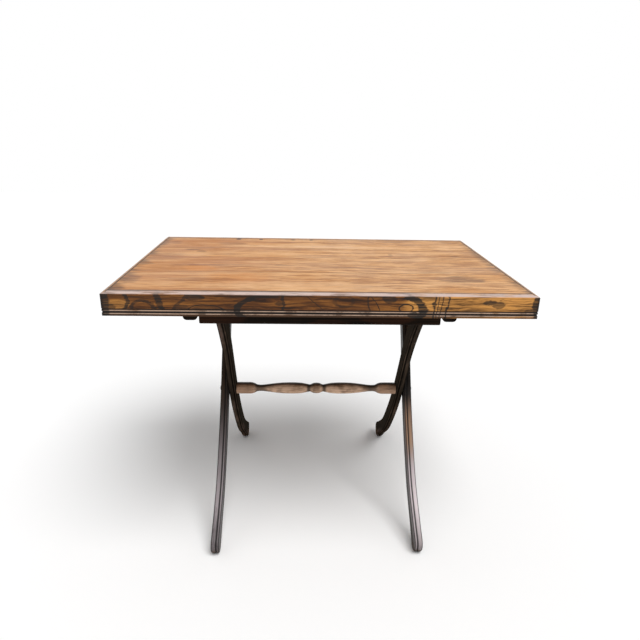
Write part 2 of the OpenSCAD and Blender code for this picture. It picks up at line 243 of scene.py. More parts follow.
def turn_on_lathe(name: str, outline: Sequence[tuple[float, float]], height: float,
                  sides: int = 64) -> bpy.types.Object:
    """Turn a solid about an axis along X.

    Args:
        name: The new object's name.
        outline: Place along X and radius, from left to right.
        height: Height of the axis.
        sides: Faces round the solid.

    Returns:
        The closed solid.
    """
    deselect_all()
    place, radius = outline[0]
    bpy.ops.mesh.primitive_circle_add(vertices=sides, radius=radius, fill_type="NGON",
                                      location=(place, 0, height), rotation=(0, math.pi / 2, 0))
    piece = bpy.context.object
    piece.name = name
    settle(piece)
    with editing(piece, "FACE"):
        bpy.ops.mesh.select_all(action="SELECT")
        for (x0, r0), (x1, r1) in zip(outline, outline[1:]):
            extrude(Vector((x1 - x0, 0, 0)))
            bpy.ops.transform.resize(value=(r1 / r0,) * 3, center_override=(x1, 0, height))
        outward()
    return piece


def copied(piece: bpy.types.Object, name: str, place: Matrix) -> bpy.types.Object:
    """Copy a piece with a mesh of its own, moved or mirrored.

    Args:
        piece: The model.
        name: The copy's name.
        place: The move, turn or mirror image.

    Returns:
        The copy, with its faces outwards.
    """
    other = piece.copy()
    other.data = piece.data.copy()
    other.name = name
    bpy.context.scene.collection.objects.link(other)
    other.data.transform(place)
    if place.determinant() < 0:
        other.data.flip_normals()
    return other


def joined(name: str, pieces: Sequence[bpy.types.Object]) -> bpy.types.Object:
    """Join several pieces into one."""
    deselect_all()
    for piece in pieces:
        piece.select_set(True)
    bpy.context.view_layer.objects.active = pieces[0]
    bpy.ops.object.join()
    pieces[0].name = name
    return pieces[0]


def hand_over(piece: bpy.types.Object, body: Body, slot: Slot, material: bpy.types.Material,
              *nodes: str) -> None:
    """Dress a finished piece and put it on its body.

    Args:
        piece: The finished piece.
        body: The body it moves with.
        slot: The record's slot for its finish; not used.
        material: Its finish.
        nodes: The nodes it stands for.
    """
    apply_modifier(piece, "WEIGHTED_NORMAL", keep_sharp=True, weight=50)
    piece.data.materials.clear()
    piece.data.materials.append(material)
    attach(piece, body.value)
    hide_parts(*nodes)
    LOG.info("%s: %d faces, %s", piece.name, len(piece.data.polygons), body.value)


def dress(material: bpy.types.Material, *nodes: str) -> None:
    """Give nodes that stay as they are a finish."""
    for name in nodes:
        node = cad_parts[name]
        node.data.materials.clear()
        node.data.materials.append(material)
        LOG.info("%s keeps its shape, in %s", name, material.name)


# Finishes


def linear(tint: Tint) -> tuple[float, float, float, float]:
    """Turn a colour as seen on screen, 0 to 255, into the shader's values."""
    channels = [c / 255 for c in tint]
    curve = [c / 12.92 if c < 0.04045 else ((c + 0.055) / 1.055) ** 2.4 for c in channels]
    return (curve[0], curve[1], curve[2], 1.0)


class Recipe:
    """One material's nodes, on Object coordinates in metres."""

    def __init__(self, name: str, roughness: float = 0.5, metallic: float = 0.0,
                 specular: float = 0.5, coat: float = 0.0) -> None:
        """Start a material.

        Args:
            name: The material's name.
            roughness: Its even roughness, until a pattern is linked.
            metallic: 1 for bare metal.
            specular: The specular level.
            coat: Weight of a thin varnish coat.
        """
        self.material = bpy.data.materials.new(name)
        self.material.use_nodes = True
        self.tree = self.material.node_tree
        self.tree.nodes.clear()
        output = self.tree.nodes.new("ShaderNodeOutputMaterial")
        self.shader = self.tree.nodes.new("ShaderNodeBsdfPrincipled")
        self.tree.links.new(self.shader.outputs["BSDF"], output.inputs["Surface"])
        self.shader.inputs["Roughness"].default_value = roughness
        self.shader.inputs["Metallic"].default_value = metallic
        self.shader.inputs["Specular IOR Level"].default_value = specular
        self.shader.inputs["Coat Weight"].default_value = coat
        self.shader.inputs["Coat Roughness"].default_value = 0.28
        coordinates = self.tree.nodes.new("ShaderNodeTexCoord")
        self.place = coordinates.outputs["Object"]
        parts = self.tree.nodes.new("ShaderNodeSeparateXYZ")
        self.tree.links.new(self.place, parts.inputs[0])
        self.x, self.y, self.z = parts.outputs

    def feed(self, entry: Socket, value: object) -> None:
        """Link a socket to an input, or set the input."""
        if isinstance(value, bpy.types.NodeSocket):
            self.tree.links.new(value, entry)
        else:
            entry.default_value = value

    def math(self, operation: str, *values: Value, clamp: bool = False) -> Socket:
        """Add a math node and return its result."""
        node = self.tree.nodes.new("ShaderNodeMath")
        node.operation = operation
        node.use_clamp = clamp
        for entry, value in zip(node.inputs, values):
            self.feed(entry, value)
        return node.outputs[0]

    def step(self, value: Value, low: float, high: float, start: float = 0.0,
             end: float = 1.0) -> Socket:
        """Go smoothly from start to end as the value goes from low to high."""
        node = self.tree.nodes.new("ShaderNodeMapRange")
        node.interpolation_type = "SMOOTHSTEP"
        for entry, setting in zip(node.inputs, (value, low, high, start, end)):
            self.feed(entry, setting)
        return node.outputs[0]

    def noise(self, scale: Sequence[float], detail: float = 3.0, rough: float = 0.55,
              shift: float = 0.0, warp: float = 0.0, place: Optional[Socket] = None) -> Socket:
        """Add noise, stretched by a scale for each axis.

        Args:
            scale: How fast the noise changes along X, Y and Z, per metre.
            detail: How many finer layers it has.
            rough: How strong the finer layers are.
            shift: Moves the pattern, so that two pieces differ.
            warp: How much it is distorted.
            place: The coordinates, if not the piece's own.

        Returns:
            Values about 0.5.
        """
        mapping = self.tree.nodes.new("ShaderNodeMapping")
        self.feed(mapping.inputs["Vector"], place or self.place)
        mapping.inputs["Scale"].default_value = scale
        mapping.inputs["Location"].default_value = (shift, 1.7 * shift, 2.3 * shift)
        node = self.tree.nodes.new("ShaderNodeTexNoise")
        self.tree.links.new(mapping.outputs[0], node.inputs["Vector"])
        node.inputs["Scale"].default_value = 1.0
        node.inputs["Detail"].default_value = detail
        node.inputs["Roughness"].default_value = rough
        node.inputs["Distortion"].default_value = warp
        return node.outputs["Fac"]

    def ramp(self, value: Socket, *stops: tuple[float, Tint]) -> Socket:
        """Turn a value into a colour through a row of stops."""
        node = self.tree.nodes.new("ShaderNodeValToRGB")
        self.tree.links.new(value, node.inputs[0])
        elements = node.color_ramp.elements
        while len(elements) < len(stops):
            elements.new(1.0)
        for element, (position, tint) in zip(elements, stops):
            element.position = position
            element.color = linear(tint)
        return node.outputs["Color"]

    def mix(self, share: Value, first: object, second: object, blend: str = "MIX") -> Socket:
        """Blend two colours by a share, each a socket or a colour on screen."""
        node = self.tree.nodes.new("ShaderNodeMix")
        node.data_type = "RGBA"
        node.blend_type = blend
        self.feed(node.inputs["Factor"], share)
        for key, value in (("A", first), ("B", second)):
            entry = [i for i in node.inputs if i.name == key and i.type == "RGBA"][0]
            self.feed(entry, value if isinstance(value, bpy.types.NodeSocket) else linear(value))
        return [o for o in node.outputs if o.type == "RGBA"][0]

    def inside(self, value: Value, low: float, high: float, soft: float) -> Socket:
        """Be 1 while a value lies between two limits, with soft edges."""
        rise = self.step(value, low - soft, low + soft)
        fall = self.step(value, high - soft, high + soft, 1.0, 0.0)
        return self.math("MULTIPLY", rise, fall)

    def vector(self, x: Value, y: Value, z: Value) -> Socket:
        """Put coordinates together."""
        node = self.tree.nodes.new("ShaderNodeCombineXYZ")
        for entry, value in zip(node.inputs, (x, y, z)):
            self.feed(entry, value)
        return node.outputs[0]

    def finish(self, colour: Socket, rough: Optional[Socket] = None,
               height: Optional[Socket] = None, depth: float = 0.2 * MM) -> bpy.types.Material:
        """Link the shader's inputs.

        Args:
            colour: The base colour.
            rough: A pattern for the roughness.
            height: A pattern for the relief.
            depth: How deep the relief is.

        Returns:
            The finished material.
        """
        self.feed(self.shader.inputs["Base Color"], colour)
        if rough is not None:
            self.feed(self.shader.inputs["Roughness"], rough)
        if height is not None:
            bump = self.tree.nodes.new("ShaderNodeBump")
            bump.inputs["Strength"].default_value = 1.0
            bump.inputs["Distance"].default_value = depth
            self.feed(bump.inputs["Height"], height)
            self.feed(self.shader.inputs["Normal"], bump.outputs["Normal"])
        return self.material


class Stain(Enum):
    """What marks a board, with its colour."""

    KNOT = (84, 52, 32)
    BROWN = (144, 92, 52)
    GREY = (112, 82, 62)
    ORANGE = (208, 134, 62)
    PALE = (232, 188, 144)
    CRACK = (120, 62, 34)
    NAIL = (44, 36, 34)


@dataclass(frozen=True)
class Spot:
    """A marked place on a board: its middle, its half lengths along X and Y, and its tone."""

    stain: Stain
    x: float
    y: float
    long: float
    wide: float
    tone: float = 0.7


@dataclass(frozen=True)
class BoardWood:
    """Worn, varnished softwood of the top's boards, with its grain along X."""

    low_y: float
    high_y: float
    half_length: float
    under_z: float
    seed: float
    tone: float
    spots: tuple[Spot, ...] = ()
    seam: float = 2.2 * MM
    border: float = 7 * MM
    border_y: float = -0.281
    grime: float = 30 * MM
    dark: Tint = (138, 88, 48)
    brown: Tint = (174, 122, 74)
    tan: Tint = (214, 160, 106)
    light: Tint = (236, 188, 136)
    warm: Tint = (206, 140, 80)
    rust: Tint = (180, 112, 52)
    darkest: Tint = (70, 50, 38)
    raw: Tint = (132, 102, 72)

    def spotted(self, recipe: Recipe, colour: Socket, grain: Socket) -> Socket:
        """Lay the board's spots over a colour, ragged along the grain."""
        wobble = recipe.noise((26, 110, 1), 3, shift=self.seed)
        wobble = recipe.math("MULTIPLY", recipe.math("SUBTRACT", wobble, 0.5), 4.5)
        threads = recipe.step(grain, 0.36, 0.62, 1.0, 0.45)
        for spot in self.spots:
            across = recipe.math("DIVIDE", recipe.math("SUBTRACT", recipe.y, spot.y), spot.wide)
            along = recipe.math("DIVIDE", recipe.math("SUBTRACT", recipe.x, spot.x), spot.long)
            squares = recipe.math("ADD", recipe.math("MULTIPLY", across, across),
                                  recipe.math("MULTIPLY", along, along))
            edge = recipe.math("ADD", squares, wobble)
            share = recipe.step(edge, 0.1, 1.6, spot.tone, 0.0)
            near = recipe.step(squares, 1.8, 3.2, 1.0, 0.0)
            share = recipe.math("MULTIPLY", share, near)
            if spot.stain is not Stain.NAIL:
                share = recipe.math("MULTIPLY", share, threads)
            colour = recipe.mix(share, colour, spot.stain.value)
        return colour

    def edges(self, recipe: Recipe, colour: Socket) -> Socket:
        """Dirty the board's joints, its ends and the front border."""
        ragged = recipe.noise((24, 60, 1), 4, 0.6, shift=self.seed + 2)
        reach = recipe.math("MINIMUM", recipe.math("SUBTRACT", recipe.y, self.low_y),
                            recipe.math("SUBTRACT", self.high_y, recipe.y))
        seam = recipe.step(reach, 0.0, self.seam, 0.9, 0.0)
        seam = recipe.math("MULTIPLY", seam, recipe.step(ragged, 0.36, 0.56, 0.25, 1.0))
        colour = recipe.mix(seam, colour, self.darkest)
        ends = recipe.math("SUBTRACT", self.half_length, recipe.math("ABSOLUTE", recipe.x))
        rim = recipe.math("MULTIPLY", recipe.step(ends, 0.0, self.grime, 0.7, 0.0),
                          recipe.step(ragged, 0.34, 0.62))
        line = recipe.step(ends, 0.8 * MM, 2.6 * MM, 0.8, 0.0)
        colour = recipe.mix(recipe.math("MAXIMUM", rim, line), colour, self.darkest)
        front = recipe.step(recipe.y, self.border_y + 0.2 * self.border,
                            self.border_y + 1.2 * self.border, 0.95, 0.0)
        leftward = recipe.step(recipe.x, -0.25, 0.1, 1.0, 0.55)
        front = recipe.math("MULTIPLY", recipe.math("MULTIPLY", front, leftward),
                            recipe.step(ragged, 0.30, 0.5, 0.35, 1.0))
        return recipe.mix(front, colour, self.darkest)

    def material(self, name: str) -> bpy.types.Material:
        """Build the finish under a name."""
        recipe = Recipe(name, roughness=0.5, specular=0.22)
        drift = recipe.noise((2.6, 6.0, 1), 2, shift=self.seed + 3)
        bent = recipe.math("ADD", recipe.y, recipe.math("MULTIPLY", drift, 0.05))
        flow = recipe.vector(recipe.x, bent, recipe.z)
        grain = recipe.noise((7, 170, 30), 6, 0.70, self.seed, 0.3, flow)
        figure = recipe.noise((2.2, 34, 12), 4, 0.6, self.seed + 11, 0.7, flow)
        mottle = recipe.noise((17, 110, 30), 4, 0.72, self.seed + 31, 0.3)
        fibre = recipe.noise((22, 900, 300), 3, 0.6, self.seed + 5, 0.0, flow)
        pores = recipe.noise((14, 380, 120), 2, 0.5, self.seed + 8, 0.0, flow)
        patches = recipe.noise((5.0, 12.0, 1), 4, 0.6, self.seed + 21)
        mixed = recipe.math("ADD", recipe.math("MULTIPLY", grain, 0.36),
                            recipe.math("MULTIPLY", figure, 0.30))
        mixed = recipe.math("ADD", mixed, recipe.math("MULTIPLY", mottle, 0.34))
        mixed = recipe.math("ADD", mixed, self.tone)
        colour = recipe.ramp(mixed, (0.40, self.dark), (0.455, self.brown), (0.50, self.tan),
                             (0.57, self.light))
        colour = recipe.mix(recipe.step(patches, 0.54, 0.74, 0.0, 0.45), colour, self.warm)
        colour = recipe.mix(recipe.step(patches, 0.28, 0.46, 0.4, 0.0), colour, self.brown)
        leftward = recipe.step(recipe.x, 0.05, -0.30, 0.0, 0.72)
        leftward = recipe.math("MULTIPLY", leftward, recipe.step(figure, 0.42, 0.58, 1.0, 0.45))
        colour = recipe.mix(leftward, colour, self.rust)
        colour = recipe.mix(recipe.step(pores, 0.57, 0.66, 0.0, 0.5), colour, self.dark)
        colour = recipe.mix(recipe.step(fibre, 0.38, 0.60, 0.32, 0.0), colour, self.brown)
        colour = self.edges(recipe, self.spotted(recipe, colour, grain))
        lower = recipe.step(recipe.z, self.under_z + MM, self.under_z + 2 * MM, 0.75, 0.0)
        colour = recipe.mix(lower, colour, self.raw)
        rough = recipe.step(patches, 0.3, 0.7, 0.42, 0.6)
        relief = recipe.math("ADD", recipe.math("MULTIPLY", fibre, 0.5),
                             recipe.math("MULTIPLY", grain, 0.8))
        return recipe.finish(colour, rough, relief, 0.35 * MM)


@dataclass(frozen=True)
class Ring:
    """A line round an ellipse in the wood's figure, by its middle and half sizes, in metres.

    A half of -1, 0 or 1 keeps the left part, all of it, or the right part. Marks that are
    over run on across the moulding below the fascia.
    """

    x: float
    z: float
    long: float
    high: float
    width: float
    tone: float = 0.85
    half: int = 0
    over: bool = False

    def shade(self, recipe: Recipe, along: Socket, up: Socket) -> Socket:
        """Return how strongly the ring darkens each place."""
        dx = recipe.math("DIVIDE", recipe.math("SUBTRACT", along, self.x), self.long)
        dz = recipe.math("DIVIDE", recipe.math("SUBTRACT", up, self.z), self.high)
        squares = recipe.math("ADD", recipe.math("MULTIPLY", dx, dx),
                              recipe.math("MULTIPLY", dz, dz))
        radius = recipe.math("SQRT", squares)
        off = recipe.math("ABSOLUTE", recipe.math("SUBTRACT", radius, 1.0))
        share = self.width / min(self.long, self.high)
        mark = recipe.step(off, 0.40 * share, 0.60 * share, self.tone, 0.0)
        if self.half:
            side = recipe.math("MULTIPLY", dx, float(self.half))
            mark = recipe.math("MULTIPLY", mark, recipe.step(side, -0.05, 0.15))
        return mark


@dataclass(frozen=True)
class Streak:
    """A line or band that runs up the figure, straight or bowed, in metres."""

    x: float
    low: float
    high: float
    width: float
    lean: float = 0.0
    bow: float = 0.0
    tone: float = 0.85
    over: bool = False

    def shade(self, recipe: Recipe, along: Socket, up: Socket) -> Socket:
        """Return how strongly the streak darkens each place."""
        half = (self.high - self.low) / 2
        rise = recipe.math("SUBTRACT", up, self.low + half)
        share = recipe.math("DIVIDE", rise, half)
        shift = recipe.math("ADD", recipe.math("MULTIPLY", share, self.lean),
                            recipe.math("MULTIPLY", recipe.math("MULTIPLY", share, share),
                                        self.bow))
        middle = recipe.math("ADD", shift, self.x)
        off = recipe.math("ABSOLUTE", recipe.math("SUBTRACT", along, middle))
        mark = recipe.step(off, 0.40 * self.width, 0.60 * self.width, self.tone, 0.0)
        reach = recipe.step(recipe.math("ABSOLUTE", share), 0.9, 1.1, 1.0, 0.0)
        return recipe.math("MULTIPLY", mark, reach)


@dataclass(frozen=True)
class Smudge:
    """A cloudy dark patch in the figure, by its middle and half sizes, in metres."""

    x: float
    z: float
    long: float
    high: float
    tone: float = 0.7
    over: bool = False

    def shade(self, recipe: Recipe, along: Socket, up: Socket) -> Socket:
        """Return how strongly the patch darkens each place."""
        dx = recipe.math("DIVIDE", recipe.math("SUBTRACT", along, self.x), self.long)
        dz = recipe.math("DIVIDE", recipe.math("SUBTRACT", up, self.z), self.high)
        squares = recipe.math("ADD", recipe.math("MULTIPLY", dx, dx),
                              recipe.math("MULTIPLY", dz, dz))
        return recipe.step(squares, 0.7, 1.2, self.tone, 0.0)


Mark = Union[Ring, Streak, Smudge]


@dataclass(frozen=True)
class EdgingWood:
    """Figured brown wood of the edging, dark in its quirks, pale along its top from rubbing, with a
    painted highlight on the front nosing and the bead crests and painted shade at its rounded
    corners.
    """

    along_y: bool
    seed: float
    half_length: float
    reach: float
    width: float
    top_z: float
    fascia: float
    quirks: tuple[tuple[float, float], ...]
    beads: tuple[float, ...]
    marks: tuple[Mark, ...]
    glows: tuple["Smudge", ...] = ()
    thin: float = 4 * MM
    worn_and_lit: Tint = (190, 144, 102)
    dark: Tint = (46, 25, 10)
    brown: Tint = (94, 54, 20)
    gold: Tint = (142, 90, 38)
    glow: Tint = (220, 156, 80)
    figure: Tint = (30, 25, 21)
    darkest: Tint = (22, 16, 12)
    bead: Tint = (182, 154, 134)
    base: Tint = (62, 41, 25)

    def marked(self, recipe: Recipe, run: Socket, grain: Socket, colour: Socket) -> Socket:
        """Draw the dark figure over a colour, with ragged edges."""
        slow = recipe.noise((26, 26, 40), 2, 0.5, self.seed + 13)
        fast = recipe.noise((150, 150, 260), 3, 0.6, self.seed + 15)
        slow = recipe.math("MULTIPLY", recipe.math("SUBTRACT", slow, 0.5), 0.020)
        fast = recipe.math("MULTIPLY", recipe.math("SUBTRACT", fast, 0.5), 0.010)
        up = recipe.math("ADD", recipe.z, recipe.math("MULTIPLY", slow, -0.35))
        total: Socket = recipe.math("MULTIPLY", run, 0.0)
        above = recipe.step(recipe.z, self.fascia - MM, self.fascia)
        for thin, share in ((True, 0.22), (False, 1.0)):
            jog = recipe.math("MULTIPLY", fast, share)
            along = recipe.math("ADD", run, recipe.math("ADD", jog, recipe.math(
                "MULTIPLY", slow, 0.4 if thin else 1.0)))
            high = recipe.math("ADD", up, recipe.math("MULTIPLY", jog, 0.5))
            for mark in self.marks:
                if (getattr(mark, "width", 1.0) < self.thin) == thin:
                    dark = mark.shade(recipe, along, high)
                    if not mark.over:
                        dark = recipe.math("MULTIPLY", dark, above)
                    total = recipe.math("MAXIMUM", total, dark)
        blotch = recipe.step(grain, 0.40, 0.66, 1.0, 0.72)
        return recipe.mix(recipe.math("MULTIPLY", total, blotch), colour, self.figure)

    def moulded(self, recipe: Recipe, wear_and_sheen: Socket, grain: Socket, colour: Socket) -> Socket:
        """Darken the quirks and the strip below them, and paint a highlight on the bead crests."""
        below = recipe.step(recipe.z, self.fascia - 1.5 * MM, self.fascia, 1.0, 0.0)
        deep = recipe.math("MULTIPLY", below, recipe.step(grain, 0.42, 0.60, 0.95, 0.45))
        colour = recipe.mix(deep, colour, self.base)
        for low, high in self.quirks:
            colour = recipe.mix(recipe.inside(recipe.z, low - 0.3 * MM, high + 0.3 * MM,
                                              0.4 * MM), colour, self.darkest)
        # Painted highlight along each bead's crest.
        for middle in self.beads:
            crest = recipe.inside(recipe.z, middle - 1.1 * MM, middle + 1.1 * MM, 0.5 * MM)
            crest = recipe.math("MULTIPLY", crest, recipe.step(wear_and_sheen, 0.34, 0.54, 0.3, 0.95))
            colour = recipe.mix(crest, colour, self.bead)
        return colour

    def material(self, name: str) -> bpy.types.Material:
        """Build the finish under a name."""
        recipe = Recipe(name, roughness=0.45, specular=0.2)
        run, other = (recipe.y, recipe.x) if self.along_y else (recipe.x, recipe.y)
        wave = recipe.noise((9, 9, 60), 3, shift=self.seed)
        bent = recipe.math("ADD", recipe.z, recipe.math("MULTIPLY", wave, 0.018))
        flow = recipe.vector(run, bent, 0.0)
        grain = recipe.noise((9, 210, 1), 6, 0.66, self.seed, 0.4, flow)
        bands = recipe.noise((5.0, 75, 1), 4, 0.6, self.seed + 7, 0.5, flow)
        fibre = recipe.noise((40, 1500, 1), 2, 0.6, self.seed + 4, 0.0, flow)
        wear_and_sheen = recipe.noise((34, 34, 34), 4, 0.62, self.seed + 17)
        mixed = recipe.math("ADD", recipe.math("MULTIPLY", grain, 0.55),
                            recipe.math("MULTIPLY", bands, 0.45))
        colour = recipe.ramp(mixed, (0.41, self.dark), (0.49, self.brown), (0.59, self.gold))
        for light in self.glows:
            share = recipe.math("MULTIPLY", light.shade(recipe, run, recipe.z),
                                recipe.step(mixed, 0.40, 0.56, 0.25, 1.0))
            colour = recipe.mix(share, colour, self.glow)
        colour = recipe.mix(recipe.step(fibre, 0.5, 0.8, 0.0, 0.5), colour, self.dark)
        veins = recipe.noise((16, 420, 1), 3, 0.6, self.seed + 23, 0.3, flow)
        colour = recipe.mix(recipe.step(veins, 0.54, 0.64, 0.0, 0.7), colour, self.dark)
        colour = self.moulded(recipe, wear_and_sheen, bands, colour)
        colour = self.marked(recipe, run, grain, colour)
        # Pale along the nosing from rubbing; on the front side it is also a painted highlight.
        nose = recipe.step(recipe.z, self.top_z - 2.6 * MM, self.top_z - 1.2 * MM)
        rubbed_and_lit = recipe.noise((13, 60, 60), 4, 0.66, self.seed + 27)
        nose = recipe.math("MULTIPLY", nose, recipe.step(rubbed_and_lit, 0.36, 0.54, 0.35, 1.0))
        inward = recipe.math("SUBTRACT", self.reach, recipe.math("ABSOLUTE", other))
        rear = recipe.step(inward, 0.60 * self.width, 0.80 * self.width, 1.0, 0.45)
        colour = recipe.mix(recipe.math("MULTIPLY", nose, rear), colour, self.worn_and_lit)
        on_top = recipe.step(recipe.z, self.top_z - 2.2 * MM, self.top_z - 1.0 * MM)
        seam = recipe.step(inward, self.width - 3.0 * MM, self.width - 1.0 * MM, 0.0, 0.85)
        seam = recipe.math("MULTIPLY", seam, recipe.step(wear_and_sheen, 0.3, 0.5, 0.4, 1.0))
        if self.along_y:
            arris = recipe.step(inward, 2.0 * MM, 4.5 * MM, 0.8, 0.0)
            seam = recipe.math("MAXIMUM", seam, arris)
        colour = recipe.mix(recipe.math("MULTIPLY", seam, on_top), colour, self.darkest)
        # Painted shade on the vertical faces at the rounded corners.
        ends = recipe.math("SUBTRACT", self.half_length, recipe.math("ABSOLUTE", run))
        corner = recipe.step(ends, 2 * MM, 9 * MM, 0.92, 0.0)
        side = recipe.step(recipe.z, self.top_z - 2.0 * MM, self.top_z - 4.0 * MM, 0.0, 1.0)
        colour = recipe.mix(recipe.math("MULTIPLY", corner, side), colour, self.darkest)
        rough = recipe.step(wear_and_sheen, 0.3, 0.7, 0.36, 0.54)
        return recipe.finish(colour, rough, mixed, 0.25 * MM)


@dataclass(frozen=True)
class DarkWood:
    """Dark stained wood of the rails, bearers, cleat and strip, brown in places; on the front rail
    the brown places are partly painted light.
    """

    seed: float
    rubs_and_light: tuple[Smudge, ...] = ()
    along_y: bool = False
    black: Tint = (13, 10, 8)
    dark: Tint = (24, 18, 13)
    brown: Tint = (44, 30, 20)
    rub_and_light: Tint = (74, 42, 26)

    def material(self, name: str) -> bpy.types.Material:
        """Build the finish under a name."""
        recipe = Recipe(name, roughness=0.5, specular=0.03)
        scale = (300, 6, 300) if self.along_y else (6, 300, 300)
        grain = recipe.noise(scale, 4, 0.6, self.seed, 0.2)
        cloud = recipe.noise((12, 12, 12), 3, 0.55, self.seed + 5)
        mixed = recipe.math("ADD", recipe.math("MULTIPLY", grain, 0.6),
                            recipe.math("MULTIPLY", cloud, 0.4))
        colour = recipe.ramp(mixed, (0.34, self.black), (0.5, self.dark), (0.68, self.brown))
        jog = recipe.math("MULTIPLY", recipe.math("SUBTRACT", grain, 0.5), 0.05)
        along = recipe.math("ADD", recipe.x, jog)
        # Brown places from rubbing; on the front rail they also stand for light on its face, as
        # painted light.
        for rub_and_light in self.rubs_and_light:
            share = recipe.math("MULTIPLY", rub_and_light.shade(recipe, along, recipe.z),
                                recipe.step(grain, 0.34, 0.6, 0.3, 1.0))
            colour = recipe.mix(share, colour, self.rub_and_light)
        rough = recipe.step(cloud, 0.3, 0.7, 0.42, 0.6)
        return recipe.finish(colour, rough, grain, 0.25 * MM)


@dataclass(frozen=True)
class LegWood:
    """Dark stained wood of the legs, pale down the lower front of the outer pair from rubbing and a
    painted reflection, with more painted light on the right leg, and a painted sheen on the front of
    the inner pair.
    """

    outer: bool
    inside_x: float
    pivot_z: float
    bow: Vector
    reed_line: tuple[float, float]
    plain: float
    thickness: float
    black: Tint = (16, 12, 10)
    dark: Tint = (33, 26, 21)
    brown: Tint = (66, 49, 36)
    pale: Tint = (158, 149, 152)
    paler: Tint = (222, 210, 213)
    sheen: Tint = (96, 80, 74)
    tan: Tint = (176, 140, 112)
    sides: Tint = (30, 27, 24)
    darkest: Tint = (12, 10, 8)

    def material(self, name: str) -> bpy.types.Material:
        """Build the finish under a name."""
        recipe = Recipe(name, roughness=0.45, specular=0.12 if self.outer else 0.0)
        rise = recipe.math("SUBTRACT", recipe.z, self.pivot_z)
        curve = 0.0
        for factor in reversed(self.bow):
            curve = recipe.math("MULTIPLY", rise, recipe.math("ADD", curve, factor))
        facing = 1.0 if self.outer else -1.0
        across = recipe.math("SUBTRACT", recipe.math("MULTIPLY", recipe.y, facing), curve)
        flow = recipe.vector(recipe.x, across, recipe.z)
        grain = recipe.noise((420, 420, 9), 4, 0.6, 2.0, 0.1, flow)
        cloud = recipe.noise((25, 25, 9), 3, 0.6, 9.0, 0.2, flow)
        mixed = recipe.math("ADD", recipe.math("MULTIPLY", grain, 0.5),
                            recipe.math("MULTIPLY", cloud, 0.5))
        colour = recipe.ramp(mixed, (0.34, self.black), (0.5, self.dark), (0.68, self.brown))
        offset = recipe.math("SUBTRACT", recipe.math("ABSOLUTE", recipe.x), self.inside_x)
        on_side = recipe.step(offset, 0.2 * MM, 0.8 * MM, 0.75, 0.0)
        colour = recipe.mix(on_side, colour, self.sides)
        if self.outer:
            # Pale lower front: rubbing plus a painted reflection, paler on the right leg as painted
            # light.
            front = recipe.step(across, -4 * MM, -12 * MM, 0.0, 1.0)
            low = recipe.step(recipe.z, 0.36, 0.08, 0.0, 1.0)
            low = recipe.math("POWER", low, 1.4)
            low = recipe.math("MULTIPLY", low, recipe.step(recipe.z, 0.02, 0.10, 0.4, 1.0))
            face = recipe.inside(offset, 0.6 * MM, self.thickness - 0.6 * MM, 0.4 * MM)
            front = recipe.math("MULTIPLY", front, recipe.step(face, 0.0, 1.0, 0.3, 1.0))
            wear_and_sheen = recipe.math("MULTIPLY", recipe.math("MULTIPLY", front, low),
                               recipe.step(mixed, 0.32, 0.52, 0.5, 1.0))
            side = recipe.step(recipe.x, 0.0, 0.1)
            pale = recipe.mix(side, self.pale, self.paler)
            colour = recipe.mix(recipe.math("MULTIPLY", wear_and_sheen, 0.95), colour, pale)
            # Tan patch on the right leg's broad reed: a painted highlight.
            patch = recipe.inside(recipe.z, 0.185, 0.285, 34 * MM)
            right = recipe.step(recipe.x, 0.0, 0.1)
            patch = recipe.math("MULTIPLY", recipe.math("MULTIPLY", patch, right), front)
            patch = recipe.math("MULTIPLY", patch, recipe.step(grain, 0.3, 0.55, 0.4, 0.9))
            colour = recipe.mix(patch, colour, self.tan)
        else:
            # Painted sheen on the inner legs' front.
            front = recipe.step(across, 4 * MM, 12 * MM, 0.0, 1.0)
            rub_and_light = recipe.math("MULTIPLY", front, recipe.step(cloud, 0.52, 0.7, 0.0, 0.6))
            colour = recipe.mix(rub_and_light, colour, self.sheen)
        toe = recipe.step(recipe.z, 34 * MM, 12 * MM, 0.0, 1.0)
        scuff = recipe.math("MULTIPLY", toe, recipe.step(cloud, 0.4, 0.62, 0.0, 0.8))
        colour = recipe.mix(scuff, colour, self.brown)
        start, stop = self.reed_line
        sunk = recipe.inside(offset, start, stop, 0.35 * MM)
        edge = recipe.inside(offset, self.thickness - self.plain, self.thickness - 0.4 * MM,
                             0.3 * MM)
        edge = recipe.math("MAXIMUM", edge, recipe.inside(offset, 0.4 * MM, self.plain, 0.3 * MM))
        lines = recipe.math("MAXIMUM", sunk, edge)
        colour = recipe.mix(recipe.math("MULTIPLY", lines, 0.9), colour, self.darkest)
        rough = recipe.step(cloud, 0.3, 0.7, 0.34, 0.52)
        return recipe.finish(colour, rough, grain, 0.2 * MM)


